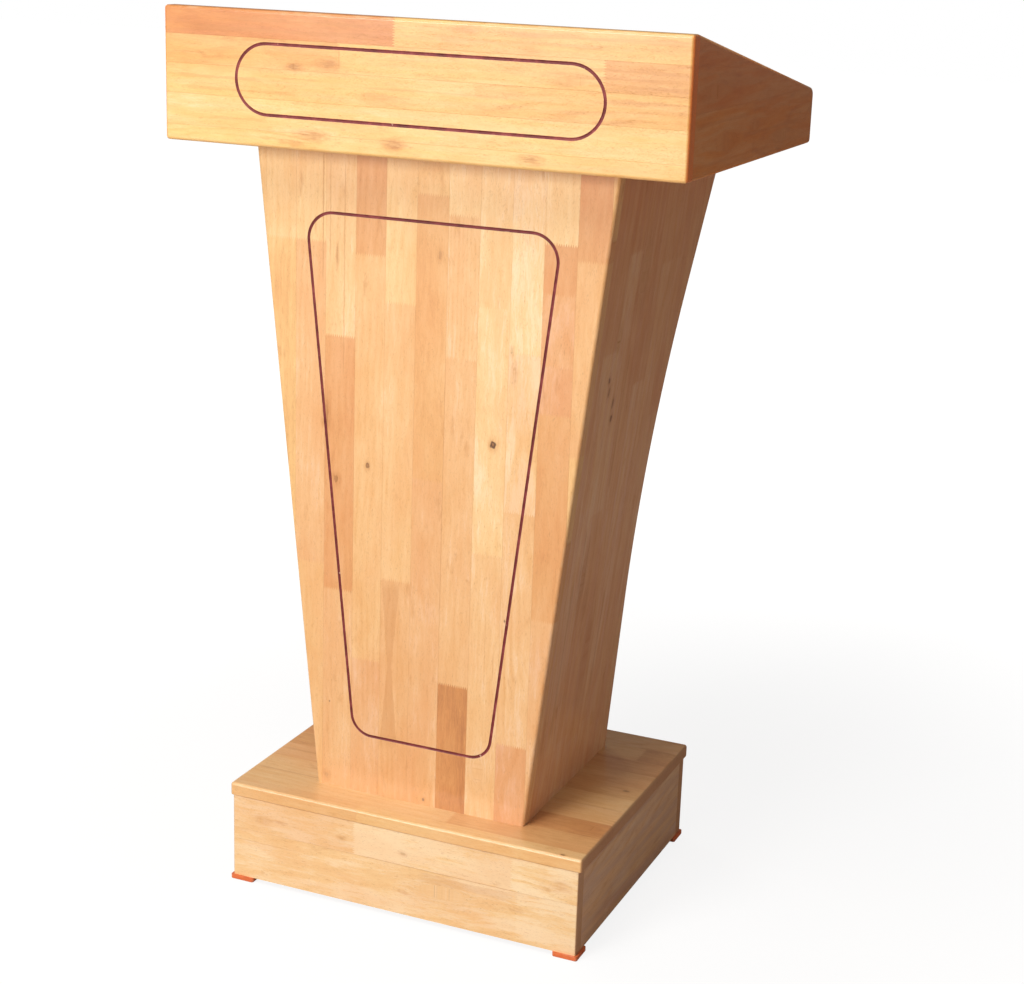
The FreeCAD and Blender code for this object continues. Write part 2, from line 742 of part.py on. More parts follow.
def in_from(outer, sign, distance):
    """A place that lies the distance inwards of an outer face at -outer or +outer."""
    return f"({sign} * ({outer} - ({distance})))"


def make_block(name, across_sign, deep_sign, bores):
    side = "(sizes.board + sizes.block_side)"
    across = [in_from(APRON_SIDE, across_sign, inset) for inset in (side, "sizes.board")]
    deep = [f"({MIDDLE} + {in_from(HALF_DEEP, deep_sign, inset)})" for inset in (side, "sizes.board")]
    corners = rectangle(across[0], across[1], deep[0], deep[1])
    up = f"{APRON_TOP} - sizes.block_height"
    body = board_body(f"{name}_block_blank", "XY_Plane", corners, "sizes.block_height", plinth_base(up=up))
    without(f"{name}_corner_block", body, bores)


def make_foot(name, across_sign, deep_sign, bores):
    across = [in_from(APRON_SIDE, across_sign, inset) for inset in ("sizes.foot_side - sizes.foot_proud",
                                                                    "-sizes.foot_proud")]
    deep = [f"({MIDDLE} + {in_from(HALF_DEEP, deep_sign, inset)})" for inset in
            ("sizes.foot_side - sizes.foot_proud", "-sizes.foot_proud")]
    corners = rectangle(across[0], across[1], deep[0], deep[1])
    body = board_body(f"{name}_foot_blank", "XY_Plane", corners, "sizes.foot_height",
                      plinth_base(up="-sizes.foot_height"))
    rounded(body, "sizes.foot_proud", lambda middle, way: near(abs(way.z), 1))
    rounded(body, "sizes.foot_proud / 3", lambda middle, way: near(middle.z, 0))
    without(f"{name}_foot", body, bores)


def plinth_dowel_places():
    up = f"sizes.foot_height + {APRON_TOP} - sizes.dowel_length + sizes.dowel_short_end"
    places = []
    for sign in (-1, 1):
        row = f"{FRONT} + {MIDDLE} + {in_from(HALF_DEEP, sign, 'sizes.board / 2')}"
        for across in spaced("-180", "180", 3):
            places.append((across, row, up, UPRIGHT))
        column = in_from(APRON_SIDE, sign, "sizes.board / 2")
        for deep in ("110", "300"):
            places.append((column, f"{FRONT} + {deep}", up, UPRIGHT))
    return places


def block_screw_places():
    """Each block holds two screws into the front or back apron and two into a side apron."""
    face = "(sizes.board + sizes.block_side)"
    centre = "(sizes.board + sizes.block_side / 2)"
    places = []
    for name, across_sign, deep_sign in corner_signs():
        across_centre = in_from(APRON_SIDE, across_sign, centre)
        across_face = in_from(APRON_SIDE, across_sign, face)
        deep_centre = f"{FRONT} + {MIDDLE} + {in_from(HALF_DEEP, deep_sign, centre)}"
        deep_face = f"{FRONT} + {MIDDLE} + {in_from(HALF_DEEP, deep_sign, face)}"
        for up in ("36", "76"):
            turn = ALONG_Y if deep_sign > 0 else ALONG_MINUS_Y
            places.append((across_centre, deep_face, f"sizes.foot_height + {up}", turn))
        for up in ("56", "96"):
            turn = ALONG_X if across_sign > 0 else ALONG_MINUS_X
            places.append((across_face, deep_centre, f"sizes.foot_height + {up}", turn))
    return places


def tack_places():
    middle_of_apron = "(sizes.board / 2)"
    away = "(sizes.board + 7)"
    places = []
    for name, across_sign, deep_sign in corner_signs():
        for across, deep in ((middle_of_apron, away), (away, middle_of_apron)):
            row = f"{FRONT} + {MIDDLE} + {in_from(HALF_DEEP, deep_sign, deep)}"
            places.append((in_from(APRON_SIDE, across_sign, across), row, "sizes.tack_sunk", UPRIGHT))
    return places


def make_plinth(dowel, screw, screw_bore, column_bores):
    top_bores = fastener_group("plinth_dowels", dowel, dowel, plinth_dowel_places())
    block_bores = fastener_group("corner_block_screws", screw, screw_bore, block_screw_places())
    tack, tack_bore = make_tack()
    foot_bores = fastener_group("foot_tacks", tack, tack_bore, tack_places())
    make_plinth_top([top_bores, column_bores])
    bores = [top_bores, block_bores, foot_bores]
    full, front, back = APRON_SIDE, "sizes.plinth_front_step", APRON_BACK
    make_apron("plinth_front_apron", f"-{full}", full, front, f"({front} + sizes.board)", bores)
    make_apron("plinth_back_apron", f"-{full}", full, f"({back} - sizes.board)", back, bores)
    between = (f"({front} + sizes.board)", f"({back} - sizes.board)")
    make_apron("plinth_left_side_apron", f"-{full}", f"(sizes.board - {full})", *between, bores)
    make_apron("plinth_right_side_apron", f"({full} - sizes.board)", full, *between, bores)
    for name, across_sign, deep_sign in corner_signs():
        make_block(name, across_sign, deep_sign, [block_bores])
        make_foot(name, across_sign, deep_sign, [foot_bores])


# ---- the whole lectern -------------------------------------------------------------------

def make_lectern():
    dowel = make_dowel()
    screw, screw_bore = make_screw()
    head_places = upright_screw_places("150", ("60", "320"), f"{HEAD_BOTTOM} - sizes.board")
    head_bores = fastener_group("head_fixing_screws", screw, screw_bore, head_places)
    column_places = upright_screw_places("90", ("60", "240"), f"{PLINTH_TOP} - sizes.board")
    column_bores = fastener_group("column_fixing_screws", screw, screw_bore, column_places)
    make_head(dowel, screw, screw_bore, head_bores)
    make_column(dowel, screw, screw_bore, head_bores, column_bores)
    make_plinth(dowel, screw, screw_bore, column_bores)


def check_document():
    doc.recompute()
    for item in doc.Objects:
        if "Invalid" in item.State or "Error" in item.State:
            raise RuntimeError(f"{item.Label} is {item.State}")
    for part in sub_parts:
        if part.Shape.isNull() or not part.Shape.isValid():
            raise RuntimeError(f"{part.Label} has no valid shape")


def write_parts():
    os.makedirs("parts", exist_ok=True)
    for part in sub_parts:
        part.Shape.exportStep(f"parts/{part.Label}.step")
        print(part.Label, len(part.Shape.Solids), round(part.Shape.Volume, 1))


fill_sheet()
make_lectern()
check_document()
write_parts()
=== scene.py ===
import math
import random

import bmesh
import bpy
from mathutils import Matrix, Vector


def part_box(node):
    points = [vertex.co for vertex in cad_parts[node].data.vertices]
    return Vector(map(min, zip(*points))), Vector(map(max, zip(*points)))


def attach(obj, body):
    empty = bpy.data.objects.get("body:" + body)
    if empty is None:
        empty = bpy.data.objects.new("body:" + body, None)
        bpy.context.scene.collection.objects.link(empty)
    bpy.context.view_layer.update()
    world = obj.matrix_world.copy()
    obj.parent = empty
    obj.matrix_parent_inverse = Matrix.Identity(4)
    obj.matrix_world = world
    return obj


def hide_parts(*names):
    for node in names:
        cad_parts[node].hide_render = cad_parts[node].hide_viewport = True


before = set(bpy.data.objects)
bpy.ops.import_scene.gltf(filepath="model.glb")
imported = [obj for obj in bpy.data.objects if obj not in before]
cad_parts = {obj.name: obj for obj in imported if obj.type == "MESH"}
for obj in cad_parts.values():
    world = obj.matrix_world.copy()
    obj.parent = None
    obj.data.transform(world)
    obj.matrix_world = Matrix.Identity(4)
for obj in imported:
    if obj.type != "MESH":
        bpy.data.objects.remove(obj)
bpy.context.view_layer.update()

# Presentation lectern of edge-glued, finger-jointed rubberwood under satin lacquer.
# Metres. X runs across the lectern, -Y is the audience's side and +Y the speaker's, Z is up.

AXES = {"x": Vector((1, 0, 0)), "y": Vector((0, 1, 0)), "z": Vector((0, 0, 1))}

# --- Meshes -------------------------------------------------------------------------------

WELD = 1e-5                  # the CAD mesh is split along its seams by less than this
COPLANAR = math.radians(0.3)
SHARP = math.radians(35)
ARRIS = 0.0006               # sandpaper takes this much off a sharp edge
FOOT_ARRIS = 0.0005
SHORTEST_ARRIS = 0.012       # shorter edges belong to bores and keep their edge
CREASE = math.radians(50)    # the shading is smooth over edges that turn by less than this


def is_arris(edge, keep_front):
    """A sharp edge that sandpaper eases; a routed groove's edges lie in the front face and stay sharp."""
    if len(edge.link_faces) != 2 or edge.calc_face_angle(0) < SHARP:
        return False
    if edge.calc_length() < SHORTEST_ARRIS:
        return False
    return keep_front is None or any(abs(vertex.co.y - keep_front) > WELD for vertex in edge.verts)


def eased_piece(node, arris=ARRIS, grooved=False):
    """A copy of a CAD node's mesh, with whole flat faces and eased edges, that stands for the node."""
    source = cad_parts[node].data
    work = bmesh.new()
    work.from_mesh(source)
    bmesh.ops.remove_doubles(work, verts=work.verts, dist=WELD)
    bmesh.ops.dissolve_limit(work, angle_limit=COPLANAR, verts=work.verts, edges=work.edges)
    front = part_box(node)[0].y if grooved else None
    edges = [edge for edge in work.edges if is_arris(edge, front)]
    bmesh.ops.bevel(work, geom=edges, offset=arris, segments=2, profile=0.6, affect="EDGES",
                    clamp_overlap=True)
    mesh = bpy.data.meshes.new(node + "_finished")
    work.to_mesh(mesh)
    work.free()
    mesh.shade_smooth()
    mesh.set_sharp_from_angle(angle=CREASE)
    piece = bpy.data.objects.new(node + "_finished", mesh)
    bpy.context.scene.collection.objects.link(piece)
    normals = piece.modifiers.new("flat_faces", "WEIGHTED_NORMAL")
    normals.keep_sharp = True
    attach(piece, "root")
    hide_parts(node)
    return piece


# --- Node graphs --------------------------------------------------------------------------


class Graph:
    """Short names for the node kinds that the materials use."""

    def __init__(self, tree):
        self.tree = tree

    def feed(self, socket, value):
        if isinstance(value, bpy.types.NodeSocket):
            self.tree.links.new(value, socket)
        else:
            socket.default_value = value

    def node(self, kind, inputs=None, **settings):
        node = self.tree.nodes.new("ShaderNode" + kind)
        for name, setting in settings.items():
            setattr(node, name, setting)
        for name, value in (inputs or {}).items():
            self.feed(node.inputs[name], value)
        return node

    def math(self, operation, *values, clamp=False):
        node = self.node("Math", operation=operation, use_clamp=clamp)
        for socket, value in zip(node.inputs, values):
            self.feed(socket, value)
        return node.outputs[0]

    def add(self, first, second):
        return self.math("ADD", first, second)

    def times(self, first, second):
        return self.math("MULTIPLY", first, second)

    def largest(self, vector):
        """The largest part of a vector."""
        one, two, three = self.split(vector)
        return self.math("MAXIMUM", self.math("MAXIMUM", one, two), three)

    def vector(self, operation, *values):
        node = self.node("VectorMath", operation=operation)
        for socket, value in zip(node.inputs, values):
            self.feed(socket, value)
        return node.outputs["Value" if operation in ("DOT_PRODUCT", "LENGTH") else "Vector"]

    def split(self, vector):
        """The three parts of a vector or a colour: sockets, or numbers if it is a plain one."""
        if isinstance(vector, tuple):
            return vector[:3]
        return self.node("SeparateXYZ", {0: vector}).outputs

    def join(self, *values):
        return self.node("CombineXYZ", dict(enumerate(values))).outputs[0]

    def mix(self, factor, first, second, blend="MIX"):
        node = self.node("Mix", data_type="RGBA", blend_type=blend)
        for index, value in ((0, factor), (6, first), (7, second)):
            self.feed(node.inputs[index], value)
        return node.outputs[2]

    def noise(self, place, stretch, detail=2.0, roughness=0.5, colour=False):
        """Noise whose features are about 1 / stretch metres long in each direction."""
        at = self.vector("MULTIPLY", place, stretch)
        node = self.node("TexNoise", {"Vector": at, "Scale": 1.0, "Detail": detail, "Roughness": roughness})
        return node.outputs[1 if colour else 0]

    def centred(self, value, amount):
        """A value of 0 to 1 as plus or minus half the amount."""
        return self.math("MULTIPLY_ADD", value, amount, -amount / 2)

    def over(self, value, low, high):
        """0 below low and 1 above high, with a smooth rise between."""
        node = self.node("MapRange", {"Value": value, "From Min": low, "From Max": high},
                         interpolation_type="SMOOTHSTEP")
        return node.outputs[0]

    def under(self, value, low, high):
        """1 below low and 0 above high, with a smooth fall between."""
        return self.math("SUBTRACT", 1.0, self.over(value, low, high))

    def patches(self, place, spread):
        """1 in patches of a noise and 0 between them; spread is (noise, low, high)."""
        noise, low, high = spread
        return self.over(self.noise(place, *noise), low, high)

    def within(self, value, limits):
        """A value of 0 to 1 spread over a range; limits are (the least value, how much comes on top)."""
        least, more = limits
        return self.math("MULTIPLY_ADD", value, more, least)

    def ramp(self, value, stops):
        node = self.node("ValToRGB", {0: value})
        elements = node.color_ramp.elements
        while len(elements) < len(stops):
            elements.new(0.5)
        for element, (position, colour) in zip(elements, stops):
            element.position = position
            element.color = (*colour, 1)
        return node.outputs[0]


def new_material(name):
    material = bpy.data.materials.new(name)
    material.use_nodes = True
    material.node_tree.nodes.clear()
    return material, Graph(material.node_tree)


def finish_shader(graph, colour, roughness, height, bump_depth, bump_strength=1.0, **constants):
    """A Principled surface; constants are set on its own sockets, such as coat_weight."""
    shader = graph.node("BsdfPrincipled", {"Base Color": colour, "Roughness": roughness})
    bump = graph.node("Bump", {"Strength": bump_strength, "Distance": bump_depth, "Height": height})
    graph.feed(shader.inputs["Normal"], bump.outputs[0])
    for name, value in constants.items():
        socket = name.replace("_", " ").title().replace("Ior", "IOR")
        shader.inputs[socket].default_value = value
    output = graph.node("OutputMaterial")
    graph.feed(output.inputs[0], shader.outputs[0])
    return shader


# --- Rubberwood ---------------------------------------------------------------------------

FINGER_PITCH = 0.0030
FINGER_LENGTH = 0.0045
GLUE_LINE = 0.00025          # half its width
WOOD_TONES = [
    (0.00, (0.940, 0.740, 0.470)),
    (0.14, (0.900, 0.640, 0.330)),
    (0.44, (0.830, 0.520, 0.220)),
    (0.74, (0.680, 0.360, 0.135)),
    (1.00, (0.480, 0.220, 0.090)),
]
REDDENED = (0.760, 0.410, 0.320, 1)     # red wood, as a filter over pale wood
ORANGE = (0.800, 0.410, 0.160, 1)
SMUDGE = (0.560, 0.240, 0.075, 1)
PORE = (0.330, 0.150, 0.060, 1)
KNOT = (0.070, 0.022, 0.008, 1)
END_GRAIN = (0.480, 0.245, 0.115, 1)
# The fascia's end grain is brighter than END_GRAIN: partly a painted highlight of light round its rounded
# corners.
FASCIA_LIT_END_GRAIN = (0.880, 0.185, 0.014, 1)
EDGE_WEAR_AND_SHEEN = (0.930, 0.700, 0.420, 1)

# Noises: features per metre along the grain, across it and through the board, then detail and roughness.
BEND = ((3.0, 14.0, 14.0), 2.0)
RIPPLE = ((22.0, 70.0, 70.0), 3.0, 0.6)
SWAY = ((13.0, 34.0, 34.0), 2.0)
STREAK = ((20.0, 230.0, 230.0), 4.0, 0.62)
BAND = ((6.0, 62.0, 62.0), 3.0, 0.55)
CLOUD = ((13.0, 26.0, 26.0), 4.0, 0.62)
FIBRE = ((85.0, 1200.0, 1200.0), 1.0)
TORN = ((90.0, 210.0, 1.0), 3.0, 0.6)
LEVEL = ((260.0, 260.0, 260.0), 1.0)
# Patches: a noise, and the two values of it between which a patch fades in.
CLEAR_RINGS = (((9.0, 26.0, 26.0), 2.0), 0.35, 0.65)
WARM_PATCHES = (((7.0, 17.0, 17.0), 4.0, 0.6), 0.40, 0.68)
FLAMES = (((17.0, 58.0, 58.0), 4.0, 0.62), 0.60, 0.76)
FLECKS = (((75.0, 480.0, 480.0), 2.0), 0.66, 0.74)
PORES = (((240.0, 2400.0, 2400.0), 1.0), 0.62, 0.72)
FLAKES = (((60.0, 420.0, 1.0), 3.0, 0.6), 0.30, 0.65)
TINT_PATCHES = (((6.0, 85.0, 85.0), 4.0, 0.6), 0.36, 0.64)
SPECKLES = (((900.0, 900.0, 900.0), 2.0), 0.35, 0.70)
WORN_AND_SHEEN_PATCHES = (((35.0, 35.0, 35.0), 3.0), 0.45, 0.65)

# Ranges: the least value, and how much may come on top of it.
HEART_DEPTH = (0.012, 0.060)
RING_SPACING = (0.0050, 0.0060)
LATE_WOOD = (0.05, 0.20)
TINT_COVER = (0.50, 0.50)
FLAKY_HALO = (0.35, 0.80)
SATIN_ROUGHNESS = (0.30, 0.14)
# How far these swing, from one end to the other: in metres, or in tone.
BEND_REACH = 0.036
RIPPLE_REACH = 0.0060
SWAY_REACH = (0.030, 0.014, 0.014)
STREAK_SWING = 0.44
BAND_SWING = 0.34
CLOUD_SWING = 0.48
FIBRE_SWING = 0.26
# The heart of the tree leans by up to half of this slope, about a point up to half of this length away.
HEART_LEAN = 0.30
HEART_TURN = 0.8
# A piece's draw between these values sets how clear its rings are. The sharpness makes their dark part thin.
RINGED_DRAWS = (0.45, 0.95)
RING_SHARPNESS = 3.0
# Each piece takes its noise from a place of its own, within this many metres.
NOISE_ROOM = 9.0
SEED_SCALE = 977.0

# Limits of how squarely a face looks: along the grain for a sawn end, along any axis for a flat face.
END_FACING = (0.25, 0.80)
FLAT_FACING = (0.90, 0.985)
# How far each mark hides the wood under it.
WARM_COVER = 0.30
FLAME_COVER = 0.46
FLECK_COVER = 0.30
PORE_COVER = 0.40
GLUE_COVER = 0.25
KNOT_HEART_COVER = 0.5
END_GRAIN_COVER = 0.85
SPECKLE_COVER = 0.35
EDGE_WEAR_AND_SHEEN_COVER = 0.25
# What pores, worn edges and sawn ends add to the roughness.
PORE_ROUGHNESS = 0.22
WORN_ROUGHNESS = 0.12
END_ROUGHNESS = 0.10
# The relief of the surface, and heights as parts of it.
RELIEF = 0.00012
PORE_HEIGHT = -0.7
FIBRE_HEIGHT = 0.18
STREAK_HEIGHT = 0.22
LEVEL_HEIGHT = 0.5
GLUE_HEIGHT = -0.8
LACQUER_COAT = {"coat_weight": 0.35, "coat_roughness": 0.16, "specular_ior_level": 0.5}

# How many radii from a knot's middle each of its parts begins to fade and ends, and how ragged that is.
HALO_FADE = (0.6, 3.2)
DARK_FADE = (0.7, 1.2)
HEART_FADE = (0.15, 0.5)
KNOT_TEAR = 2.4
TINY = 1e-9                  # keeps the division from failing at a knot's middle
# A mineral streak's soft edge, its longest taper at each end and the wander of its line.
STREAK_EDGE = (-0.0006, 0.0008)
STREAK_TAPER = 0.020
STREAK_TEAR = 0.0012


def metres(millimetres):
    return millimetres / 1000


def growth_rings(g, place, pith, draws, own):
    """Late wood: cylinders about a heart that leans a little, so that a cut shows arches or lines."""
    one, two, three = draws
    along, across, through = g.split(place)
    aside = g.add(g.math("SUBTRACT", across, pith), g.centred(g.noise(own, *BEND), BEND_REACH))
    lean = g.times(g.centred(two, HEART_LEAN), g.add(along, g.centred(three, HEART_TURN)))
    deep = g.add(g.within(one, HEART_DEPTH), g.add(lean, through))
    radius = g.math("SQRT", g.add(g.times(aside, aside), g.times(deep, deep)))
    radius = g.add(radius, g.centred(g.noise(own, *RIPPLE), RIPPLE_REACH))
    turns = g.math("DIVIDE", radius, g.within(three, RING_SPACING))
    wave = g.math("SINE", g.times(turns, 2 * math.pi))
    ring = g.math("MULTIPLY_ADD", wave, 0.5, 0.5)
    strength = g.within(g.over(one, *RINGED_DRAWS), LATE_WOOD)
    strength = g.times(strength, g.patches(own, CLEAR_RINGS))
    return ring, g.times(g.math("POWER", ring, RING_SHARPNESS), strength)


def wood_sockets():
    """An empty node group with the sockets that wood_group describes."""
    tree = bpy.data.node_groups.new("rubberwood", "ShaderNodeTree")
    given = [("Place", "Vector"), ("Tone", "Float"), ("Red", "Float"), ("Pith", "Float")]
    results = [("Color", "Color"), ("Roughness", "Float"), ("Height", "Float")]
    for direction, sockets in (("INPUT", given), ("OUTPUT", results)):
        for name, kind in sockets:
            tree.interface.new_socket(name, in_out=direction, socket_type="NodeSocket" + kind)
    return tree


def wood_colour(g, shade, own, wavy, red, pores):
    colour = g.ramp(shade, WOOD_TONES)
    colour = g.mix(g.times(g.patches(own, WARM_PATCHES), WARM_COVER), colour, ORANGE)
    colour = g.mix(red, colour, REDDENED, "MULTIPLY")
    colour = g.mix(g.times(g.patches(wavy, FLAMES), FLAME_COVER), colour, SMUDGE)
    colour = g.mix(g.times(g.patches(wavy, FLECKS), FLECK_COVER), colour, SMUDGE)
    return g.mix(g.times(pores, PORE_COVER), colour, PORE)


def wood_group():
    """Colour, roughness and height of one sawn piece of rubberwood.

    Place is (along the grain, across the face, through the board). Pith is where the tree's heart lies across
    the face, and it also seeds everything that differs from piece to piece.
    """
    tree = wood_sockets()
    g = Graph(tree)
    given = tree.nodes.new("NodeGroupInput").outputs
    place, tone, red, pith = given[0], given[1], given[2], given[3]
    draw = g.node("TexWhiteNoise", {"W": g.times(pith, SEED_SCALE)}, noise_dimensions="1D").outputs[1]
    own = g.vector("MULTIPLY_ADD", draw, (NOISE_ROOM, NOISE_ROOM, NOISE_ROOM), place)
    ring, late = growth_rings(g, place, pith, g.split(draw), own)

    # wavy grain: everything finer follows a field that sways from side to side
    wavy = g.vector("MULTIPLY_ADD", g.noise(own, *SWAY, colour=True), SWAY_REACH, own)
    streak = g.noise(wavy, *STREAK)
    fibre = g.noise(wavy, *FIBRE)
    pores = g.times(g.patches(wavy, PORES), g.math("MULTIPLY_ADD", ring, 0.5, 0.5))

    shade = g.add(tone, g.centred(streak, STREAK_SWING))
    shade = g.add(shade, g.centred(g.noise(wavy, *BAND), BAND_SWING))
    shade = g.add(shade, g.centred(g.noise(own, *CLOUD), CLOUD_SWING))
    shade = g.add(shade, g.centred(fibre, FIBRE_SWING))
    colour = wood_colour(g, g.add(shade, late), own, wavy, red, pores)

    rough = g.math("MULTIPLY_ADD", pores, PORE_ROUGHNESS, g.within(streak, SATIN_ROUGHNESS))
    height = g.math("MULTIPLY_ADD", pores, PORE_HEIGHT, g.times(fibre, FIBRE_HEIGHT))
    height = g.add(height, g.times(streak, STREAK_HEIGHT))
    result = tree.nodes.new("NodeGroupOutput")
    for socket, value in zip(result.inputs, (colour, rough, height)):
        g.feed(socket, value)
    return tree


WOOD = wood_group()


def piece_colour(piece):
    """The piece's three numbers as one colour that the graph can choose: tone, red and pith."""
    return (piece["tone"], piece["red"], piece["pith"], 1)


def piece_under(g, along, across, staves):
    """The colour of the piece under each point. Staves, and the pieces in each, go from low to high."""
    chosen = None
    for low_edge, pieces in staves:
        row = piece_colour(pieces[0])
        for piece in pieces[1:]:
            row = g.mix(g.math("GREATER_THAN", along, piece["start"]), row, piece_colour(piece))
        chosen = row if chosen is None else g.mix(g.math("GREATER_THAN", across, low_edge), chosen, row)
    return chosen


def glue_lines(g, across, staves):
    """1 on the thin lines between staves."""
    lines = 0.0
    for low_edge, _ in staves[1:]:
        lines = g.add(lines, g.math("COMPARE", across, low_edge, GLUE_LINE))
    return lines


def round_knots(g, along, across, torn, knots):
    """The place across the board, pushed aside by each knot, and the knots' dark wood, heart and halo."""
    dark, heart, halo = 0.0, 0.0, 0.0
    for knot_along, knot_across, knot_radius, stretch, darkness, glow in knots:
        radius, centre = metres(knot_radius), metres(knot_across)
        ahead = g.math("DIVIDE", g.math("SUBTRACT", along, metres(knot_along)), stretch)
        aside = g.math("SUBTRACT", across, centre)
        squared = g.math("MULTIPLY_ADD", ahead, ahead, g.times(aside, aside))
        pushed = g.math("SUBTRACT", 1.0, g.math("DIVIDE", radius ** 2, g.add(squared, TINY)))
        across = g.math("MULTIPLY_ADD", aside, g.math("MAXIMUM", pushed, 0.0), centre)
        away = g.add(g.math("DIVIDE", g.math("SQRT", squared), radius), torn)
        halo = g.math("MAXIMUM", halo, g.times(g.under(away, *HALO_FADE), glow))
        if darkness:
            dark = g.math("MAXIMUM", dark, g.times(g.under(away, *DARK_FADE), darkness))
            heart = g.math("MAXIMUM", heart, g.times(g.under(away, *HEART_FADE), darkness))
    return across, dark, heart, halo


def brown_streaks(g, along, across, torn, streaks):
    """Mineral streaks: each has two ends along the grain, a place across, half width, flare and strength."""
    brown = 0.0
    for low, high, where, half_width, flare, strength in streaks:
        middle, reach = metres(low + high) / 2, metres(high - low) / 2
        off_middle = g.math("ABSOLUTE", g.math("SUBTRACT", along, middle))
        edge = g.math("MULTIPLY_ADD", off_middle, flare, metres(half_width))
        off_line = g.math("SUBTRACT", across, metres(where))
        off_line = g.math("ABSOLUTE", g.math("MULTIPLY_ADD", torn, STREAK_TEAR, off_line))
        inside = g.over(g.math("SUBTRACT", edge, off_line), *STREAK_EDGE)
        ends = g.over(g.math("SUBTRACT", reach, off_middle), 0.0, min(STREAK_TAPER, reach / 2))
        brown = g.math("MAXIMUM", brown, g.times(g.times(inside, ends), strength))
    return brown


def place_in_board(g, at, node, grain, across_axis):
    """How far a point lies along the grain, across the board, and through it from its middle plane."""
    through_axis = next(axis for axis in AXES if axis not in (grain, across_axis))
    parts = dict(zip("xyz", g.split(at)))
    low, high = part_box(node)
    middle = dict(zip("xyz", (low + high) / 2))
    through = g.math("SUBTRACT", parts[through_axis], middle[through_axis])
    if node in LEANING:
        down, slope = LEANING[node]
        through = g.math("MULTIPLY_ADD", g.math("SUBTRACT", parts[down], middle[down]), -slope, through)
    return parts[grain], parts[across_axis], through


def finger_jointed(g, along, across):
    """The place along the grain with a zigzag on it, so that the ends of the pieces interlock."""
    fingers = g.math("PINGPONG", across, FINGER_PITCH / 2)
    return g.math("MULTIPLY_ADD", fingers, 2 * FINGER_LENGTH / FINGER_PITCH, along)


def sawn_and_worn(g, coordinates, grain, end_grain, colour, rough):
    """Sawn ends drink the lacquer and go deeper; rounded edges are lighter: rubbed thin, and a painted
    highlight.
    """
    facing = g.vector("ABSOLUTE", coordinates["Normal"])
    end = g.over(g.vector("DOT_PRODUCT", facing, AXES[grain]), *END_FACING)
    speckle = g.patches(coordinates["Object"], SPECKLES)
    sawn_end = g.mix(g.times(speckle, SPECKLE_COVER), end_grain, PORE)
    colour = g.mix(g.times(end, END_GRAIN_COVER), colour, sawn_end)
    # lighter patches on the rounded edges: rubbed lacquer, and a painted highlight where the rounds catch the
    # light
    rounded_edges = g.times(g.under(g.largest(facing), *FLAT_FACING), g.math("SUBTRACT", 1.0, end))
    worn_and_sheen = g.times(rounded_edges, g.patches(coordinates["Object"], WORN_AND_SHEEN_PATCHES))
    colour = g.mix(g.times(worn_and_sheen, EDGE_WEAR_AND_SHEEN_COVER), colour, EDGE_WEAR_AND_SHEEN)
    rough = g.math("MULTIPLY_ADD", worn_and_sheen, WORN_ROUGHNESS, rough)
    return colour, g.math("MULTIPLY_ADD", end, END_ROUGHNESS, rough)


def wood_material(name, node, grain, across_axis, staves, knots=(), streaks=()):
    material, g = new_material(name)
    coordinates = g.node("TexCoord").outputs
    along, across, through = place_in_board(g, coordinates["Object"], node, grain, across_axis)
    piece = g.split(piece_under(g, finger_jointed(g, along, across), across, staves))
    face = g.join(along, across, 0.0)
    torn = g.centred(g.noise(face, *TORN), KNOT_TEAR)
    pushed, dark, heart, halo = round_knots(g, along, across, torn, knots)
    place = g.join(along, pushed, through)
    wood = g.node("Group", node_tree=WOOD)
    for socket, value in zip(wood.inputs, (place, *piece)):
        g.feed(socket, value)
    colour, rough, height = wood.outputs

    lines = glue_lines(g, across, staves)
    colour = g.mix(g.times(lines, GLUE_COVER), colour, SMUDGE)
    if streaks:
        colour = g.mix(brown_streaks(g, along, across, torn, streaks), colour, SMUDGE)
    if knots:
        flaky = g.within(g.patches(face, FLAKES), FLAKY_HALO)
        colour = g.mix(g.times(halo, flaky), colour, SMUDGE)
        colour = g.mix(dark, colour, KNOT)
        colour = g.mix(g.times(heart, KNOT_HEART_COVER), colour, SMUDGE)
    # on the right side apron this tint is painted shade
    if node in LACQUER_AND_SHADE_TINTS:
        tint_patches = g.within(g.patches(place, TINT_PATCHES), TINT_COVER)
        colour = g.mix(tint_patches, colour, (*LACQUER_AND_SHADE_TINTS[node], 1), "MULTIPLY")
    # the fascia's brighter end grain is partly a painted highlight of light caught on its rounded corners
    end_grain = FASCIA_LIT_END_GRAIN if node == "fascia_board" else END_GRAIN
    colour, rough = sawn_and_worn(g, coordinates, grain, end_grain, colour, rough)

    height = g.math("MULTIPLY_ADD", g.noise(coordinates["Object"], *LEVEL), LEVEL_HEIGHT, height)
    height = g.math("MULTIPLY_ADD", lines, GLUE_HEIGHT, height)
    finish_shader(g, colour, rough, height, RELIEF, **LACQUER_COAT)
    return material


# --- How the boards are glued up ----------------------------------------------------------

STAVE_WIDTHS = (0.040, 0.046)
PIECE_LENGTHS = (0.18, 0.52)
TONES = [0.30, 0.34, 0.38, 0.42, 0.48, 0.58, 0.68]
REDS = [0.05, 0.12, 0.20, 0.32]
PITH_SPREAD = 0.05           # how far at most a random piece's pith lies from its stave's middle
CHOSEN_PITH_SPREAD = 0.035   # the same for the pieces of the given lists
HALF_STAVE = 21              # half of a usual stave, in the given lists' millimetres


def sawn(start, tone, red, pith):
    return {"start": start, "tone": tone, "red": red, "pith": pith}


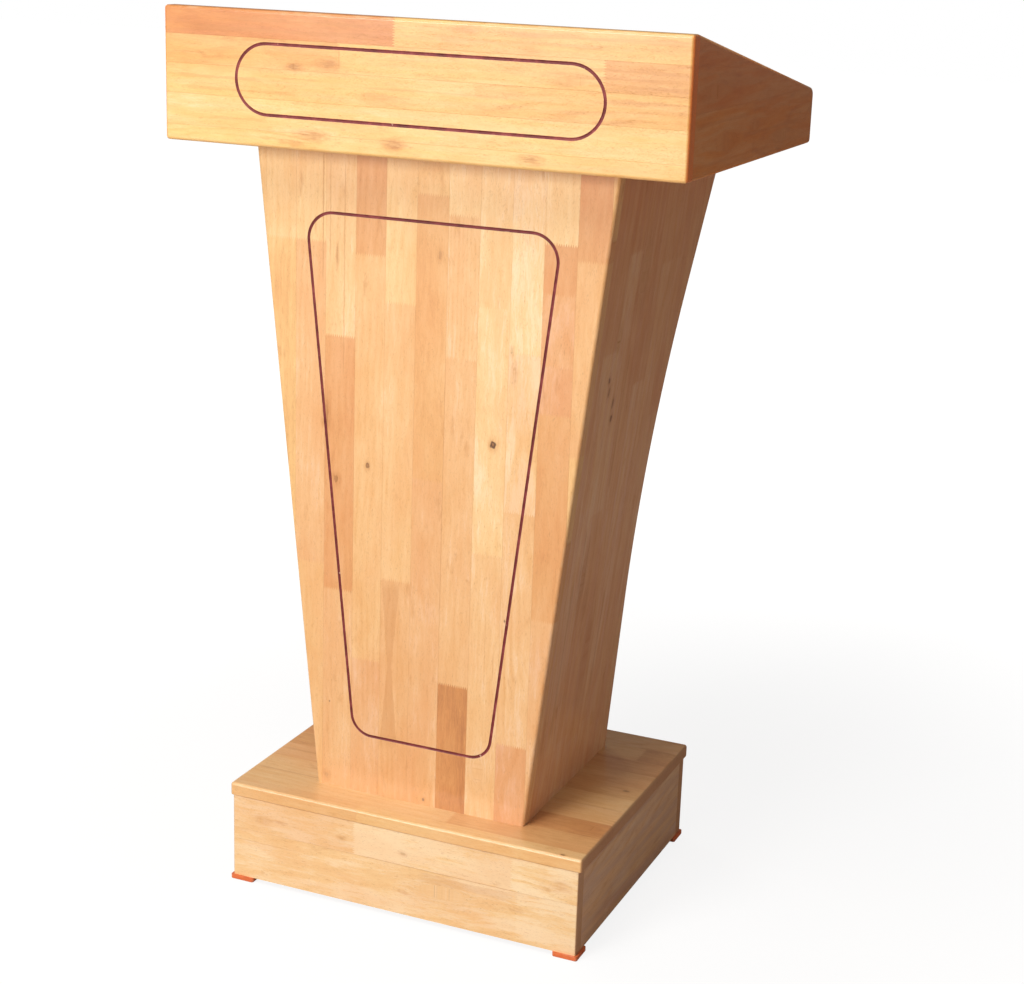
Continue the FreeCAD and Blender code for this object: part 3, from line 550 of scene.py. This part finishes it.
def random_staves(seed, grain, across_axis, box, deeper):
    """Staves of random widths that cover a box, each a row of finger-jointed pieces of random lengths."""
    draw = random.Random(seed)
    low, high = box
    darker, redder = deeper
    first, last = getattr(low, grain), getattr(high, grain)
    edge, top = getattr(low, across_axis) - draw.uniform(0, STAVE_WIDTHS[0]), getattr(high, across_axis)
    staves = []
    while edge < top:
        wide = draw.uniform(*STAVE_WIDTHS)
        start, pieces = first - draw.uniform(0, PIECE_LENGTHS[0]), []
        while start < last:
            pith = edge + wide / 2 + draw.uniform(-PITH_SPREAD, PITH_SPREAD)
            pieces.append(sawn(start, darker + draw.choice(TONES), redder + draw.choice(REDS), pith))
            start += draw.uniform(*PIECE_LENGTHS)
        staves.append((edge, pieces))
        edge += wide
    return staves


def chosen_staves(layout):
    """Staves from a given list of (low edge, [(start, tone, red), ...]) in millimetres."""
    staves = []
    for low_edge, pieces in layout:
        row = []
        for count, (start, tone, red) in enumerate(pieces):
            # the sine spreads the piths unevenly, and the same way on each run
            off_middle = CHOSEN_PITH_SPREAD * math.sin(7.0 * count + 0.13 * low_edge)
            row.append(sawn(metres(start), tone, red, metres(low_edge + HALF_STAVE) + off_middle))
        staves.append((metres(low_edge), row))
    return staves


# The front panel: staves from left to right by their left edge, pieces from the plinth upwards. The lowest
# pieces are mostly redder than the top ones: partly the wood's own tones, partly painted shade for the light
# falling off down the panel.
FRONT_PANEL_STAVES = [
    (-270, [(0, 0.38, 0.00)]),
    (-227, [(0, 0.40, 0.10), (460, 0.47, 0.00), (872, 0.30, 0.00)]),
    (-185, [(0, 0.30, 0.20), (452, 0.19, 0.38), (872, 0.24, 0.00)]),
    (-143, [(0, 0.18, 0.35), (420, 0.36, 0.52), (755, 0.22, 0.15)]),
    (-101, [(0, 0.16, 0.50), (330, 0.29, 0.22), (861, 0.33, 0.48)]),
    (-60, [(0, 0.26, 0.40), (445, 0.24, 0.20), (630, 0.24, 0.25), (805, 0.28, 0.00)]),
    (-18, [(0, 0.20, 0.42), (585, 0.40, 0.28), (942, 0.36, 0.00)]),
    (24, [(0, 0.76, 0.37), (317, 0.22, 0.34), (745, 0.20, 0.25), (920, 0.16, 0.00)]),
    (66, [(0, 0.18, 0.25), (500, 0.16, 0.06), (812, 0.16, 0.05)]),
    (108, [(0, 0.08, 0.64), (250, 0.18, 0.29), (560, 0.05, 0.17), (760, 0.10, 0.03)]),
    (150, [(0, 0.14, 0.40), (425, 0.40, 0.43), (690, 0.10, 0.61), (750, 0.15, 0.52), (837, 0.36, 0.57),
           (897, 0.20, 0.00)]),
    (192, [(0, 0.44, 0.05), (640, 0.32, 0.27), (880, 0.38, 0.52)]),
    (233, [(0, 0.44, 0.00)]),
]
# Knots and smudges: place along and across, radius, stretch along the grain, darkness, halo.
FRONT_PANEL_KNOTS = [
    (641, 91, 3.4, 1.3, 0.90, 0.55),
    (590, -81.5, 2.4, 1.6, 0.60, 0.45),
    (868, 13.5, 2.2, 2.4, 0.20, 0.45),
    (566, -126, 3.2, 1.5, 0.30, 0.85),
    (649, -141, 3.0, 5.0, 0.20, 0.90),
    (148, 7, 1.8, 1.4, 0.50, 0.30),
    (154, -136, 3.0, 1.5, 0.15, 0.45),
    (260, -133, 1.2, 1.3, 0.50, 0.10),
    (415, 114, 1.4, 1.4, 0.60, 0.20),
    (854, -127, 1.2, 7.0, 0.10, 0.55),
    (204, 83, 7.0, 2.2, 0.00, 0.18),
    (733, 116, 2.0, 3.5, 0.00, 0.45),
    (760, 112, 1.6, 2.5, 0.10, 0.40),
]
# Streaks: two ends along the grain, place across, half width, flare, strength.
FRONT_PANEL_STREAKS = [
    (815, 986, -147, 0.9, 0.0, 0.60),
    (838, 980, -137, 0.7, 0.0, 0.50),
    (700, 975, -117, 0.8, 0.0, 0.50),
    (400, 742, 24, 0.5, 0.0, 0.40),
    (205, 446, -46, 3.0, 0.085, 0.34),
    (330, 372, 100, 0.6, 0.0, 0.45),
    (300, 430, 88, 0.5, 0.0, 0.30),
]
# The fascia: staves from its bottom upwards, pieces from left to right.
FASCIA_STAVES = [
    (960, [(-400, 0.27, 0.00), (-40, 0.26, 0.02)]),
    (1006, [(-400, 0.18, 0.14), (60, 0.28, 0.00)]),
    (1044, [(-400, 0.38, 0.08), (80, 0.46, 0.15)]),
    (1080, [(-400, 0.50, 0.20), (-97, 0.46, 0.04), (238, 0.52, 0.34)]),
    (1115, [(-400, 0.58, 0.72), (-25, 0.52, 0.08)]),
]
FASCIA_KNOTS = [
    (-158, 1084, 2.6, 2.6, 0.16, 0.75),
    (-113, 1090, 3.4, 2.4, 0.10, 0.70),
    (-135, 1005, 3.4, 3.0, 0.05, 0.65),
    (-25, 1002, 3.6, 2.2, 0.08, 0.75),
    (150, 998, 3.0, 2.6, 0.05, 0.70),
    (65, 1138, 2.6, 4.0, 0.00, 0.40),
    (-55, 1056, 2.6, 4.0, 0.00, 0.40),
    (200, 1090, 5.0, 3.5, 0.00, 0.30),
]
FASCIA_STREAKS = [
    (-333, -285, 1094, 0.6, 0.0, 0.55),
    (-100, -97, 1096, 10.0, 0.0, 0.35),
    (-185, -120, 1070, 0.7, 0.02, 0.35),
    (-70, 130, 1066, 1.2, 0.0, 0.22),
    (-280, -190, 1018, 1.2, 0.03, 0.22),
    (205, 336, 1104, 1.4, 0.02, 0.40),
    (190, 336, 1095, 1.0, 0.03, 0.35),
    (250, 336, 1087, 1.6, 0.02, 0.32),
    (20, 250, 1128, 1.2, 0.02, 0.22),
    (90, 336, 1137, 1.4, 0.02, 0.25),
    (-310, -40, 1124, 1.4, 0.02, 0.32),
    (-250, -60, 1136, 1.2, 0.02, 0.30),
    (-330, -200, 1066, 1.4, 0.02, 0.28),
    (-320, -150, 1052, 1.0, 0.02, 0.25),
]
# The plinth's front apron: two wide staves, pieces from left to right.
FRONT_APRON_STAVES = [
    (-10, [(-300, 0.11, 0.08), (168, 0.04, 0.06)]),
    (76, [(-300, 0.06, 0.14), (-65, 0.00, 0.00), (160, 0.02, 0.00)]),
]
FRONT_APRON_KNOTS = [
    (-85, 95, 2.2, 1.6, 0.10, 0.40),
    (5, 93, 2.2, 1.6, 0.15, 0.35),
    (-205, 94, 3.4, 1.8, 0.00, 0.30),
    (225, 98, 3.4, 1.8, 0.00, 0.30),
    (60, 50, 9.0, 3.2, 0.00, 0.12),
]
FRONT_APRON_STREAKS = [
    (-62, 168, 76, 0.8, 0.0, 0.30),
    (20, 168, 66, 5.0, 0.03, 0.20),
    (-250, -150, 60, 0.8, 0.0, 0.25),
]
# The right cheek: from its bottom upwards, pieces from the fascia to the speaker's side.
RIGHT_CHEEK_STAVES = [
    (980, [(-300, 0.33, 0.50), (-10, 0.45, 0.54)]),
    (1060, [(-300, 0.41, 0.64)]),
]
RIGHT_CHEEK_KNOTS = [
    (-120, 1022, 9.0, 3.5, 0.00, 0.34),
    (-5, 1030, 5.0, 2.5, 0.00, 0.45),
    (120, 1008, 6.0, 4.0, 0.00, 0.40),
    (-170, 1080, 7.0, 4.0, 0.00, 0.30),
    (40, 1062, 4.0, 5.0, 0.00, 0.30),
]
RIGHT_CHEEK_STREAKS = [
    (-240, -20, 1046, 1.4, 0.02, 0.30),
    (-60, 200, 1022, 1.2, 0.02, 0.30),
    (-220, 60, 1000, 1.0, 0.01, 0.25),
]
# The right side panel: staves from its front edge backwards, pieces from the plinth upwards. In the front
# seven staves the lowest pieces, up to some 190 to 236 mm, are mostly lighter and pinker than the pieces
# above: painted bounce light from the plinth top.
RIGHT_SIDE_STAVES = [
    (-220, [(0, 0.10, 0.28), (236, 0.12, 0.30), (640, 0.18, 0.34)]),
    (-167, [(0, 0.06, 0.30), (222, 0.03, 0.20), (560, 0.08, 0.14), (760, 0.22, 0.28)]),
    (-124, [(0, 0.08, 0.28), (228, 0.18, 0.26), (545, 0.10, 0.16), (880, 0.26, 0.32)]),
    (-81, [(0, 0.06, 0.30), (214, 0.18, 0.28), (610, 0.22, 0.26)]),
    (-38, [(0, 0.10, 0.28), (226, 0.10, 0.20), (700, 0.26, 0.34)]),
    (5, [(0, 0.08, 0.28), (205, 0.20, 0.26), (520, 0.16, 0.18), (850, 0.26, 0.28)]),
    (48, [(0, 0.12, 0.30), (190, 0.16, 0.24), (640, 0.22, 0.30)]),
    (91, [(0, 0.18, 0.28), (720, 0.24, 0.28)]),
    (134, [(0, 0.20, 0.30)]),
    (177, [(0, 0.20, 0.25)]),
]
SIDE_PANEL_KNOTS = [
    (722, -132, 2.8, 1.5, 0.60, 0.45),
    (706, -127, 2.8, 2.0, 0.35, 0.50),
    (688, -107, 3.0, 1.8, 0.45, 0.50),
    (668, -105, 3.2, 1.4, 0.60, 0.50),
    (845, -60, 9.0, 3.0, 0.00, 0.40),
    (772, -118, 5.0, 2.0, 0.00, 0.40),
    (455, -118, 6.0, 3.5, 0.00, 0.50),
    (420, -96, 5.0, 2.5, 0.00, 0.45),
    (330, -60, 9.0, 5.0, 0.00, 0.30),
]
SIDE_PANEL_STREAKS = [
    (440, 535, -130, 1.0, 0.05, 0.45),
    (430, 520, -112, 1.0, 0.05, 0.40),
    (560, 760, -70, 1.6, 0.02, 0.30),
    (240, 470, -150, 1.6, 0.03, 0.35),
    (250, 420, -20, 2.0, 0.03, 0.30),
]
# The plinth's top board: places along it from left to right, and across it from front to back.
PLINTH_TOP_KNOTS = [
    (225, -251, 1.6, 1.6, 0.60, 0.40),
    (230, -37, 2.4, 2.0, 0.40, 0.40),
    (225, -165, 7.0, 2.2, 0.00, 0.35),
]
PLINTH_TOP_STREAKS = [
    (150, 252, 60, 1.8, 0.02, 0.40),
    (120, 252, -100, 1.2, 0.02, 0.35),
    (190, 252, 110, 2.4, 0.02, 0.35),
    (-252, -90, -190, 1.5, 0.02, 0.35),
    (-252, -140, -120, 2.5, 0.02, 0.40),
]

# Each board's grain direction and the direction in which its staves follow one another.
BOARDS = {
    "fascia_board": ("x", "z"),
    "left_cheek": ("y", "z"),
    "right_cheek": ("y", "z"),
    "rear_rail": ("x", "z"),
    "head_floor": ("x", "y"),
    "reading_board": ("x", "y"),
    "left_reading_cleat": ("y", "z"),
    "right_reading_cleat": ("y", "z"),
    "front_panel": ("z", "x"),
    "left_side_panel": ("z", "y"),
    "right_side_panel": ("z", "y"),
    "column_top_board": ("x", "y"),
    "column_bottom_board": ("x", "y"),
    "upper_shelf": ("x", "y"),
    "lower_shelf": ("x", "y"),
    "upper_shelf_left_cleat": ("y", "z"),
    "upper_shelf_right_cleat": ("y", "z"),
    "lower_shelf_left_cleat": ("y", "z"),
    "lower_shelf_right_cleat": ("y", "z"),
    "plinth_top_board": ("x", "y"),
    "plinth_front_apron": ("x", "z"),
    "plinth_back_apron": ("x", "z"),
    "plinth_left_side_apron": ("y", "z"),
    "plinth_right_side_apron": ("y", "z"),
    "front_left_corner_block": ("z", "x"),
    "front_right_corner_block": ("z", "x"),
    "back_left_corner_block": ("z", "x"),
    "back_right_corner_block": ("z", "x"),
}
GLUED_BY_HAND = {
    "front_panel": FRONT_PANEL_STAVES,
    "fascia_board": FASCIA_STAVES,
    "plinth_front_apron": FRONT_APRON_STAVES,
    "right_cheek": RIGHT_CHEEK_STAVES,
    "right_side_panel": RIGHT_SIDE_STAVES,
}
KNOTS = {
    "front_panel": FRONT_PANEL_KNOTS,
    "fascia_board": FASCIA_KNOTS,
    "plinth_front_apron": FRONT_APRON_KNOTS,
    "right_cheek": RIGHT_CHEEK_KNOTS,
    "right_side_panel": SIDE_PANEL_KNOTS,
    "plinth_top_board": PLINTH_TOP_KNOTS,
}
STREAKS = {
    "front_panel": FRONT_PANEL_STREAKS,
    "fascia_board": FASCIA_STREAKS,
    "plinth_front_apron": FRONT_APRON_STREAKS,
    "right_cheek": RIGHT_CHEEK_STREAKS,
    "right_side_panel": SIDE_PANEL_STREAKS,
    "plinth_top_board": PLINTH_TOP_STREAKS,
}
SIDE_SLOPE = ((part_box("column_top_board")[1].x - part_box("column_bottom_board")[1].x)
              / (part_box("column_top_board")[0].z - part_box("column_bottom_board")[0].z))
READING_SLOPE = ((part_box("rear_rail")[1].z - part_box("fascia_board")[1].z)
                 / (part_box("rear_rail")[0].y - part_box("fascia_board")[1].y))
# Boards that stand askew: the direction along which they lean, and by how much.
LEANING = {
    "left_side_panel": ("z", -SIDE_SLOPE),
    "right_side_panel": ("z", SIDE_SLOPE),
    "reading_board": ("y", READING_SLOPE),
}
# How much darker and redder than usual a board's random pieces are; below 0 they are lighter or less red.
DEEPER_BOARDS = {
    "left_cheek": (0.04, 0.36),
    "plinth_top_board": (0.02, 0.00),
    "plinth_right_side_apron": (-0.16, -0.05),
    "left_side_panel": (-0.20, 0.00),
}
# The lacquer's tint where it lies thickest, on boards deeper in colour than bare rubberwood, and one painted
# shade.
WARM_LACQUER = (0.98, 0.84, 0.76)
LACQUER_AND_SHADE_TINTS = {
    "fascia_board": (1.00, 0.955, 0.70),
    "right_cheek": (0.98, 0.64, 0.20),
    "left_cheek": (0.98, 0.64, 0.20),
    "right_side_panel": (0.875, 0.72, 0.73),
    "left_side_panel": (0.875, 0.72, 0.73),
    # The right side apron's grey-lilac tint is painted shade, not lacquer: the grey cast of its shaded side.
    "plinth_right_side_apron": (0.71, 0.69, 0.955),
    "plinth_left_side_apron": WARM_LACQUER,
    "plinth_back_apron": WARM_LACQUER,
    "reading_board": WARM_LACQUER,
    "rear_rail": WARM_LACQUER,
    "upper_shelf": WARM_LACQUER,
    "lower_shelf": WARM_LACQUER,
    "column_bottom_board": WARM_LACQUER,
}


def board_staves(node, grain, across_axis, seed):
    if node in GLUED_BY_HAND:
        return chosen_staves(GLUED_BY_HAND[node])
    return random_staves(seed, grain, across_axis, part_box(node), DEEPER_BOARDS.get(node, (0.0, 0.0)))


def make_boards():
    for seed, (node, (grain, across_axis)) in enumerate(BOARDS.items(), start=11):
        staves = board_staves(node, grain, across_axis, seed)
        material = wood_material("rubberwood_" + node, node, grain, across_axis, staves,
                                 KNOTS.get(node, ()), STREAKS.get(node, ()))
        piece = eased_piece(node, grooved=node in ("front_panel", "fascia_board"))
        piece.data.materials.append(material)


# --- Small parts --------------------------------------------------------------------------

MAROONS = [(0.30, (0.110, 0.014, 0.014)), (0.55, (0.200, 0.032, 0.034)), (0.75, (0.320, 0.072, 0.068))]
PAINTED_RIM_HIGHLIGHT = (0.72, 0.36, 0.30, 1)
BARE_CHIP = (0.85, 0.62, 0.45, 1)
PAD_ORANGES = [(0.30, (0.640, 0.130, 0.040)), (0.60, (0.780, 0.200, 0.065))]
SCUFFED = (0.60, 0.32, 0.24, 1)
ZINCS = [(0.30, (0.560, 0.540, 0.480)), (0.70, (0.700, 0.690, 0.640))]
# Noises and patches of noise, as for the wood.
PAINT_MOTTLE = ((60.0, 60.0, 60.0), 4.0, 0.6)
PAINT_CHIPS = (((130.0, 130.0, 130.0), 2.0), 0.70, 0.74)
PAD_MOTTLE = ((45.0, 45.0, 45.0), 3.0)
PAD_SPARK = ((2200.0, 2200.0, 2200.0), 1.0)
ZINC_CLOUD = ((300.0, 300.0, 300.0), 3.0)
ZINC_SCRATCH = ((150.0, 4000.0, 4000.0), 1.0)
RIM_SLOPE = (0.17, 0.24)     # how steep the groove is where the rim begins and where it is fully a rim
RIM_TEAR = 0.10              # how ragged the paint's mottle makes that limit
PAD_FLAT = (0.85, 0.99)      # as FLAT_FACING, for the pads
PAD_SCUFFS = (0.35, 0.6)     # values of the mottle between which the pads' rounded edges are scuffed
# How far each mark hides what is under it.
RIM_HIGHLIGHT_COVER = 0.55
CHIP_COVER = 0.45
SCUFF_COVER = 0.6
# Roughness: ranges as for the wood, and what scuffs add to it.
PAINT_ROUGHNESS = (0.38, 0.30)
PAD_ROUGHNESS = (0.38, 0.15)
SCUFF_ROUGHNESS = 0.25
BEECH_ROUGHNESS = (0.35, 0.6)
ZINC_ROUGHNESS = (0.25, 0.20)
PAINT_RELIEF = 0.0002
CHIP_HEIGHT = 0.6            # as a part of the paint's relief
PAD_RELIEF = 0.00008
BEECH_RELIEF = 0.0001
ZINC_RELIEF = 0.00003


def groove_paint():
    """Maroon in the hollow, with a pink painted highlight on the groove's sloping rims."""
    material, g = new_material("maroon_groove_paint")
    coordinates = g.node("TexCoord").outputs
    place = coordinates["Object"]
    mottle = g.noise(place, *PAINT_MOTTLE)
    colour = g.ramp(mottle, MAROONS)
    slope = g.math("SUBTRACT", 1.0, g.math("ABSOLUTE", g.split(coordinates["Normal"])[1]))
    # the pink on the rims' slopes is a painted highlight, as of light on the groove's flanks
    rim_highlight = g.over(g.math("MULTIPLY_ADD", mottle, RIM_TEAR, slope), *RIM_SLOPE)
    colour = g.mix(g.times(rim_highlight, RIM_HIGHLIGHT_COVER), colour, PAINTED_RIM_HIGHLIGHT)
    chips = g.patches(place, PAINT_CHIPS)
    colour = g.mix(g.times(chips, CHIP_COVER), colour, BARE_CHIP)
    height = g.math("MULTIPLY_ADD", chips, CHIP_HEIGHT, mottle)
    rough = g.within(mottle, PAINT_ROUGHNESS)
    finish_shader(g, colour, rough, height, PAINT_RELIEF, specular_ior_level=0.3)
    return material


def pad_plastic():
    material, g = new_material("orange_pad_plastic")
    coordinates = g.node("TexCoord").outputs
    place = coordinates["Object"]
    mottle = g.noise(place, *PAD_MOTTLE)
    spark = g.noise(place, *PAD_SPARK)
    colour = g.ramp(mottle, PAD_ORANGES)
    rounded = g.under(g.largest(g.vector("ABSOLUTE", coordinates["Normal"])), *PAD_FLAT)
    scuffed = g.times(rounded, g.over(mottle, *PAD_SCUFFS))
    colour = g.mix(g.times(scuffed, SCUFF_COVER), colour, SCUFFED)
    rough = g.math("MULTIPLY_ADD", scuffed, SCUFF_ROUGHNESS, g.within(mottle, PAD_ROUGHNESS))
    finish_shader(g, colour, rough, g.add(spark, mottle), PAD_RELIEF)
    return material


def dowel_beech():
    material, g = new_material("bare_beech")
    place = g.node("TexCoord").outputs["Object"]
    wood = g.node("Group", {"Place": place, "Tone": 0.38, "Red": 0.10, "Pith": 0.03}, node_tree=WOOD)
    colour, rough, height = wood.outputs
    finish_shader(g, colour, g.within(rough, BEECH_ROUGHNESS), height, BEECH_RELIEF)
    return material


def zinc_steel():
    material, g = new_material("zinc_plated_steel")
    place = g.node("TexCoord").outputs["Object"]
    cloud = g.noise(place, *ZINC_CLOUD)
    scratch = g.noise(place, *ZINC_SCRATCH)
    colour = g.ramp(cloud, ZINCS)
    finish_shader(g, colour, g.within(cloud, ZINC_ROUGHNESS), scratch, ZINC_RELIEF, metallic=1.0)
    return material


def paint_kept_nodes():
    """Grooves, dowels, screws and tacks have their right shape already and only get their material."""
    materials = {"groove_line": groove_paint(), "dowels": dowel_beech(), "screws": zinc_steel()}
    materials["tacks"] = materials["screws"]
    for name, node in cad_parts.items():
        for ending, material in materials.items():
            if name.endswith(ending):
                for slot in node.material_slots:
                    slot.material = material


def make_feet():
    plastic = pad_plastic()
    for depth in ("front", "back"):
        for side in ("left", "right"):
            piece = eased_piece(f"{depth}_{side}_foot", FOOT_ARRIS)
            piece.data.materials.append(plastic)


# --- Floor, light and camera --------------------------------------------------------------

FLOOR_SIZE = 30.0
FLOOR_DROP = 0.0002          # keeps the floor clear of the pads' undersides
FLOOR_GRAIN = ((30.0, 30.0, 30.0), 2.0)
FLOOR_RELIEF = 0.0001
FLOOR_ROUGHNESS = 0.9
FLOOR_SEEN = (0.16, 0.16, 0.16, 1)
FLOOR_BOUNCE = (0.50, 0.38, 0.32, 1)
# The floor also glows, so that it runs into the white room. It glows less near the lectern, where the
# light falls on it too and the shadow has to show.
GLOW_NEAR = (0.86, 0.86, 0.86, 1)
GLOW_RISE = (0.45, 2.0)      # distances from the middle between which the glow rises to white
WHITE = (1, 1, 1, 1)
BLACK = (0, 0, 0, 1)
ROOM_BOUNCE = (0.20, 0.19, 0.18, 1)
# Softboxes: name, place, size, power in watts and colour. They all face the same point on the column.
LIT_POINT = (0, 0, 0.7)
SOFTBOXES = [
    ("key_softbox", (-1.6, -4.6, 1.9), (1.8, 1.8), 180, (1.0, 0.975, 0.94)),
    ("top_softbox", (-0.6, -1.6, 3.6), (2.2, 1.6), 62, (1.0, 0.98, 0.95)),
    ("warm_reflector", (3.2, -0.6, 0.9), (2.0, 2.0), 8.5, (1.0, 0.76, 0.60)),
    ("back_fill", (-3.2, 2.3, 1.5), (1.6, 1.6), 26, (1.0, 0.93, 0.84)),
]
# The camera: its place, how far it is turned about Z, looks down and is tipped, and its lens.
CAMERA_PLACE = (1.0398, -2.3862, 1.2738)
CAMERA_AZIMUTH = math.radians(22.87)
CAMERA_ELEVATION = math.radians(16.21)
CAMERA_ROLL = math.radians(1.96)
FOCAL_LENGTH = 70.58         # millimetres, as is the sensor's width
SENSOR_WIDTH = 36


def seen_directly(g, bounced, seen):
    """One colour for what the camera sees directly and another for the light that comes back off it."""
    return g.mix(g.node("LightPath").outputs["Is Camera Ray"], bounced, seen)


def make_floor():
    mesh = bpy.data.meshes.new("studio_floor")
    work = bmesh.new()
    bmesh.ops.create_grid(work, x_segments=1, y_segments=1, size=FLOOR_SIZE / 2)
    work.to_mesh(mesh)
    work.free()
    floor = bpy.data.objects.new("studio_floor", mesh)
    bpy.context.scene.collection.objects.link(floor)
    floor.location.z = -FLOOR_DROP
    material, g = new_material("pale_floor")
    place = g.node("TexCoord").outputs["Object"]
    grain = g.noise(place, *FLOOR_GRAIN)
    colour = seen_directly(g, FLOOR_BOUNCE, FLOOR_SEEN)
    shader = finish_shader(g, colour, FLOOR_ROUGHNESS, grain, FLOOR_RELIEF, specular_ior_level=0.1,
                           emission_strength=1.0)
    glow = g.mix(g.over(g.vector("LENGTH", place), *GLOW_RISE), GLOW_NEAR, WHITE)
    g.feed(shader.inputs["Emission Color"], seen_directly(g, BLACK, glow))
    mesh.materials.append(material)


def make_world():
    world = bpy.data.worlds.new("white_room")
    bpy.context.scene.world = world
    world.use_nodes = True
    world.node_tree.nodes.clear()
    g = Graph(world.node_tree)
    background = g.node("Background", {"Color": seen_directly(g, ROOM_BOUNCE, WHITE), "Strength": 1.0})
    output = g.node("OutputWorld")
    g.feed(output.inputs[0], background.outputs[0])


def make_softbox(name, place, size, power, colour):
    data = bpy.data.lights.new(name, "AREA")
    data.shape = "RECTANGLE"
    data.size, data.size_y = size
    data.energy = power
    data.color = colour
    light = bpy.data.objects.new(name, data)
    bpy.context.scene.collection.objects.link(light)
    light.location = place
    light.rotation_mode = "QUATERNION"
    light.rotation_quaternion = (Vector(LIT_POINT) - Vector(place)).to_track_quat("-Z", "Y")


def make_camera():
    """A view from the audience's right and from a little above the head."""
    ahead = Vector((-math.sin(CAMERA_AZIMUTH), math.cos(CAMERA_AZIMUTH), 0))
    forward = ahead * math.cos(CAMERA_ELEVATION) - AXES["z"] * math.sin(CAMERA_ELEVATION)
    level = Vector((math.cos(CAMERA_AZIMUTH), math.sin(CAMERA_AZIMUTH), 0))
    upright = level.cross(forward)
    right = level * math.cos(CAMERA_ROLL) + upright * math.sin(CAMERA_ROLL)
    up = upright * math.cos(CAMERA_ROLL) - level * math.sin(CAMERA_ROLL)
    data = bpy.data.cameras.new("camera")
    data.lens = FOCAL_LENGTH
    data.sensor_width = SENSOR_WIDTH
    camera = bpy.data.objects.new("camera", data)
    bpy.context.scene.collection.objects.link(camera)
    turn = Matrix((right, up, -forward)).transposed()
    camera.matrix_world = Matrix.Translation(CAMERA_PLACE) @ turn.to_4x4()
    bpy.context.scene.camera = camera


make_camera()
make_world()
for softbox in SOFTBOXES:
    make_softbox(*softbox)
make_floor()
make_boards()
make_feet()
paint_kept_nodes()
bpy.context.scene.view_settings.view_transform = "Standard"
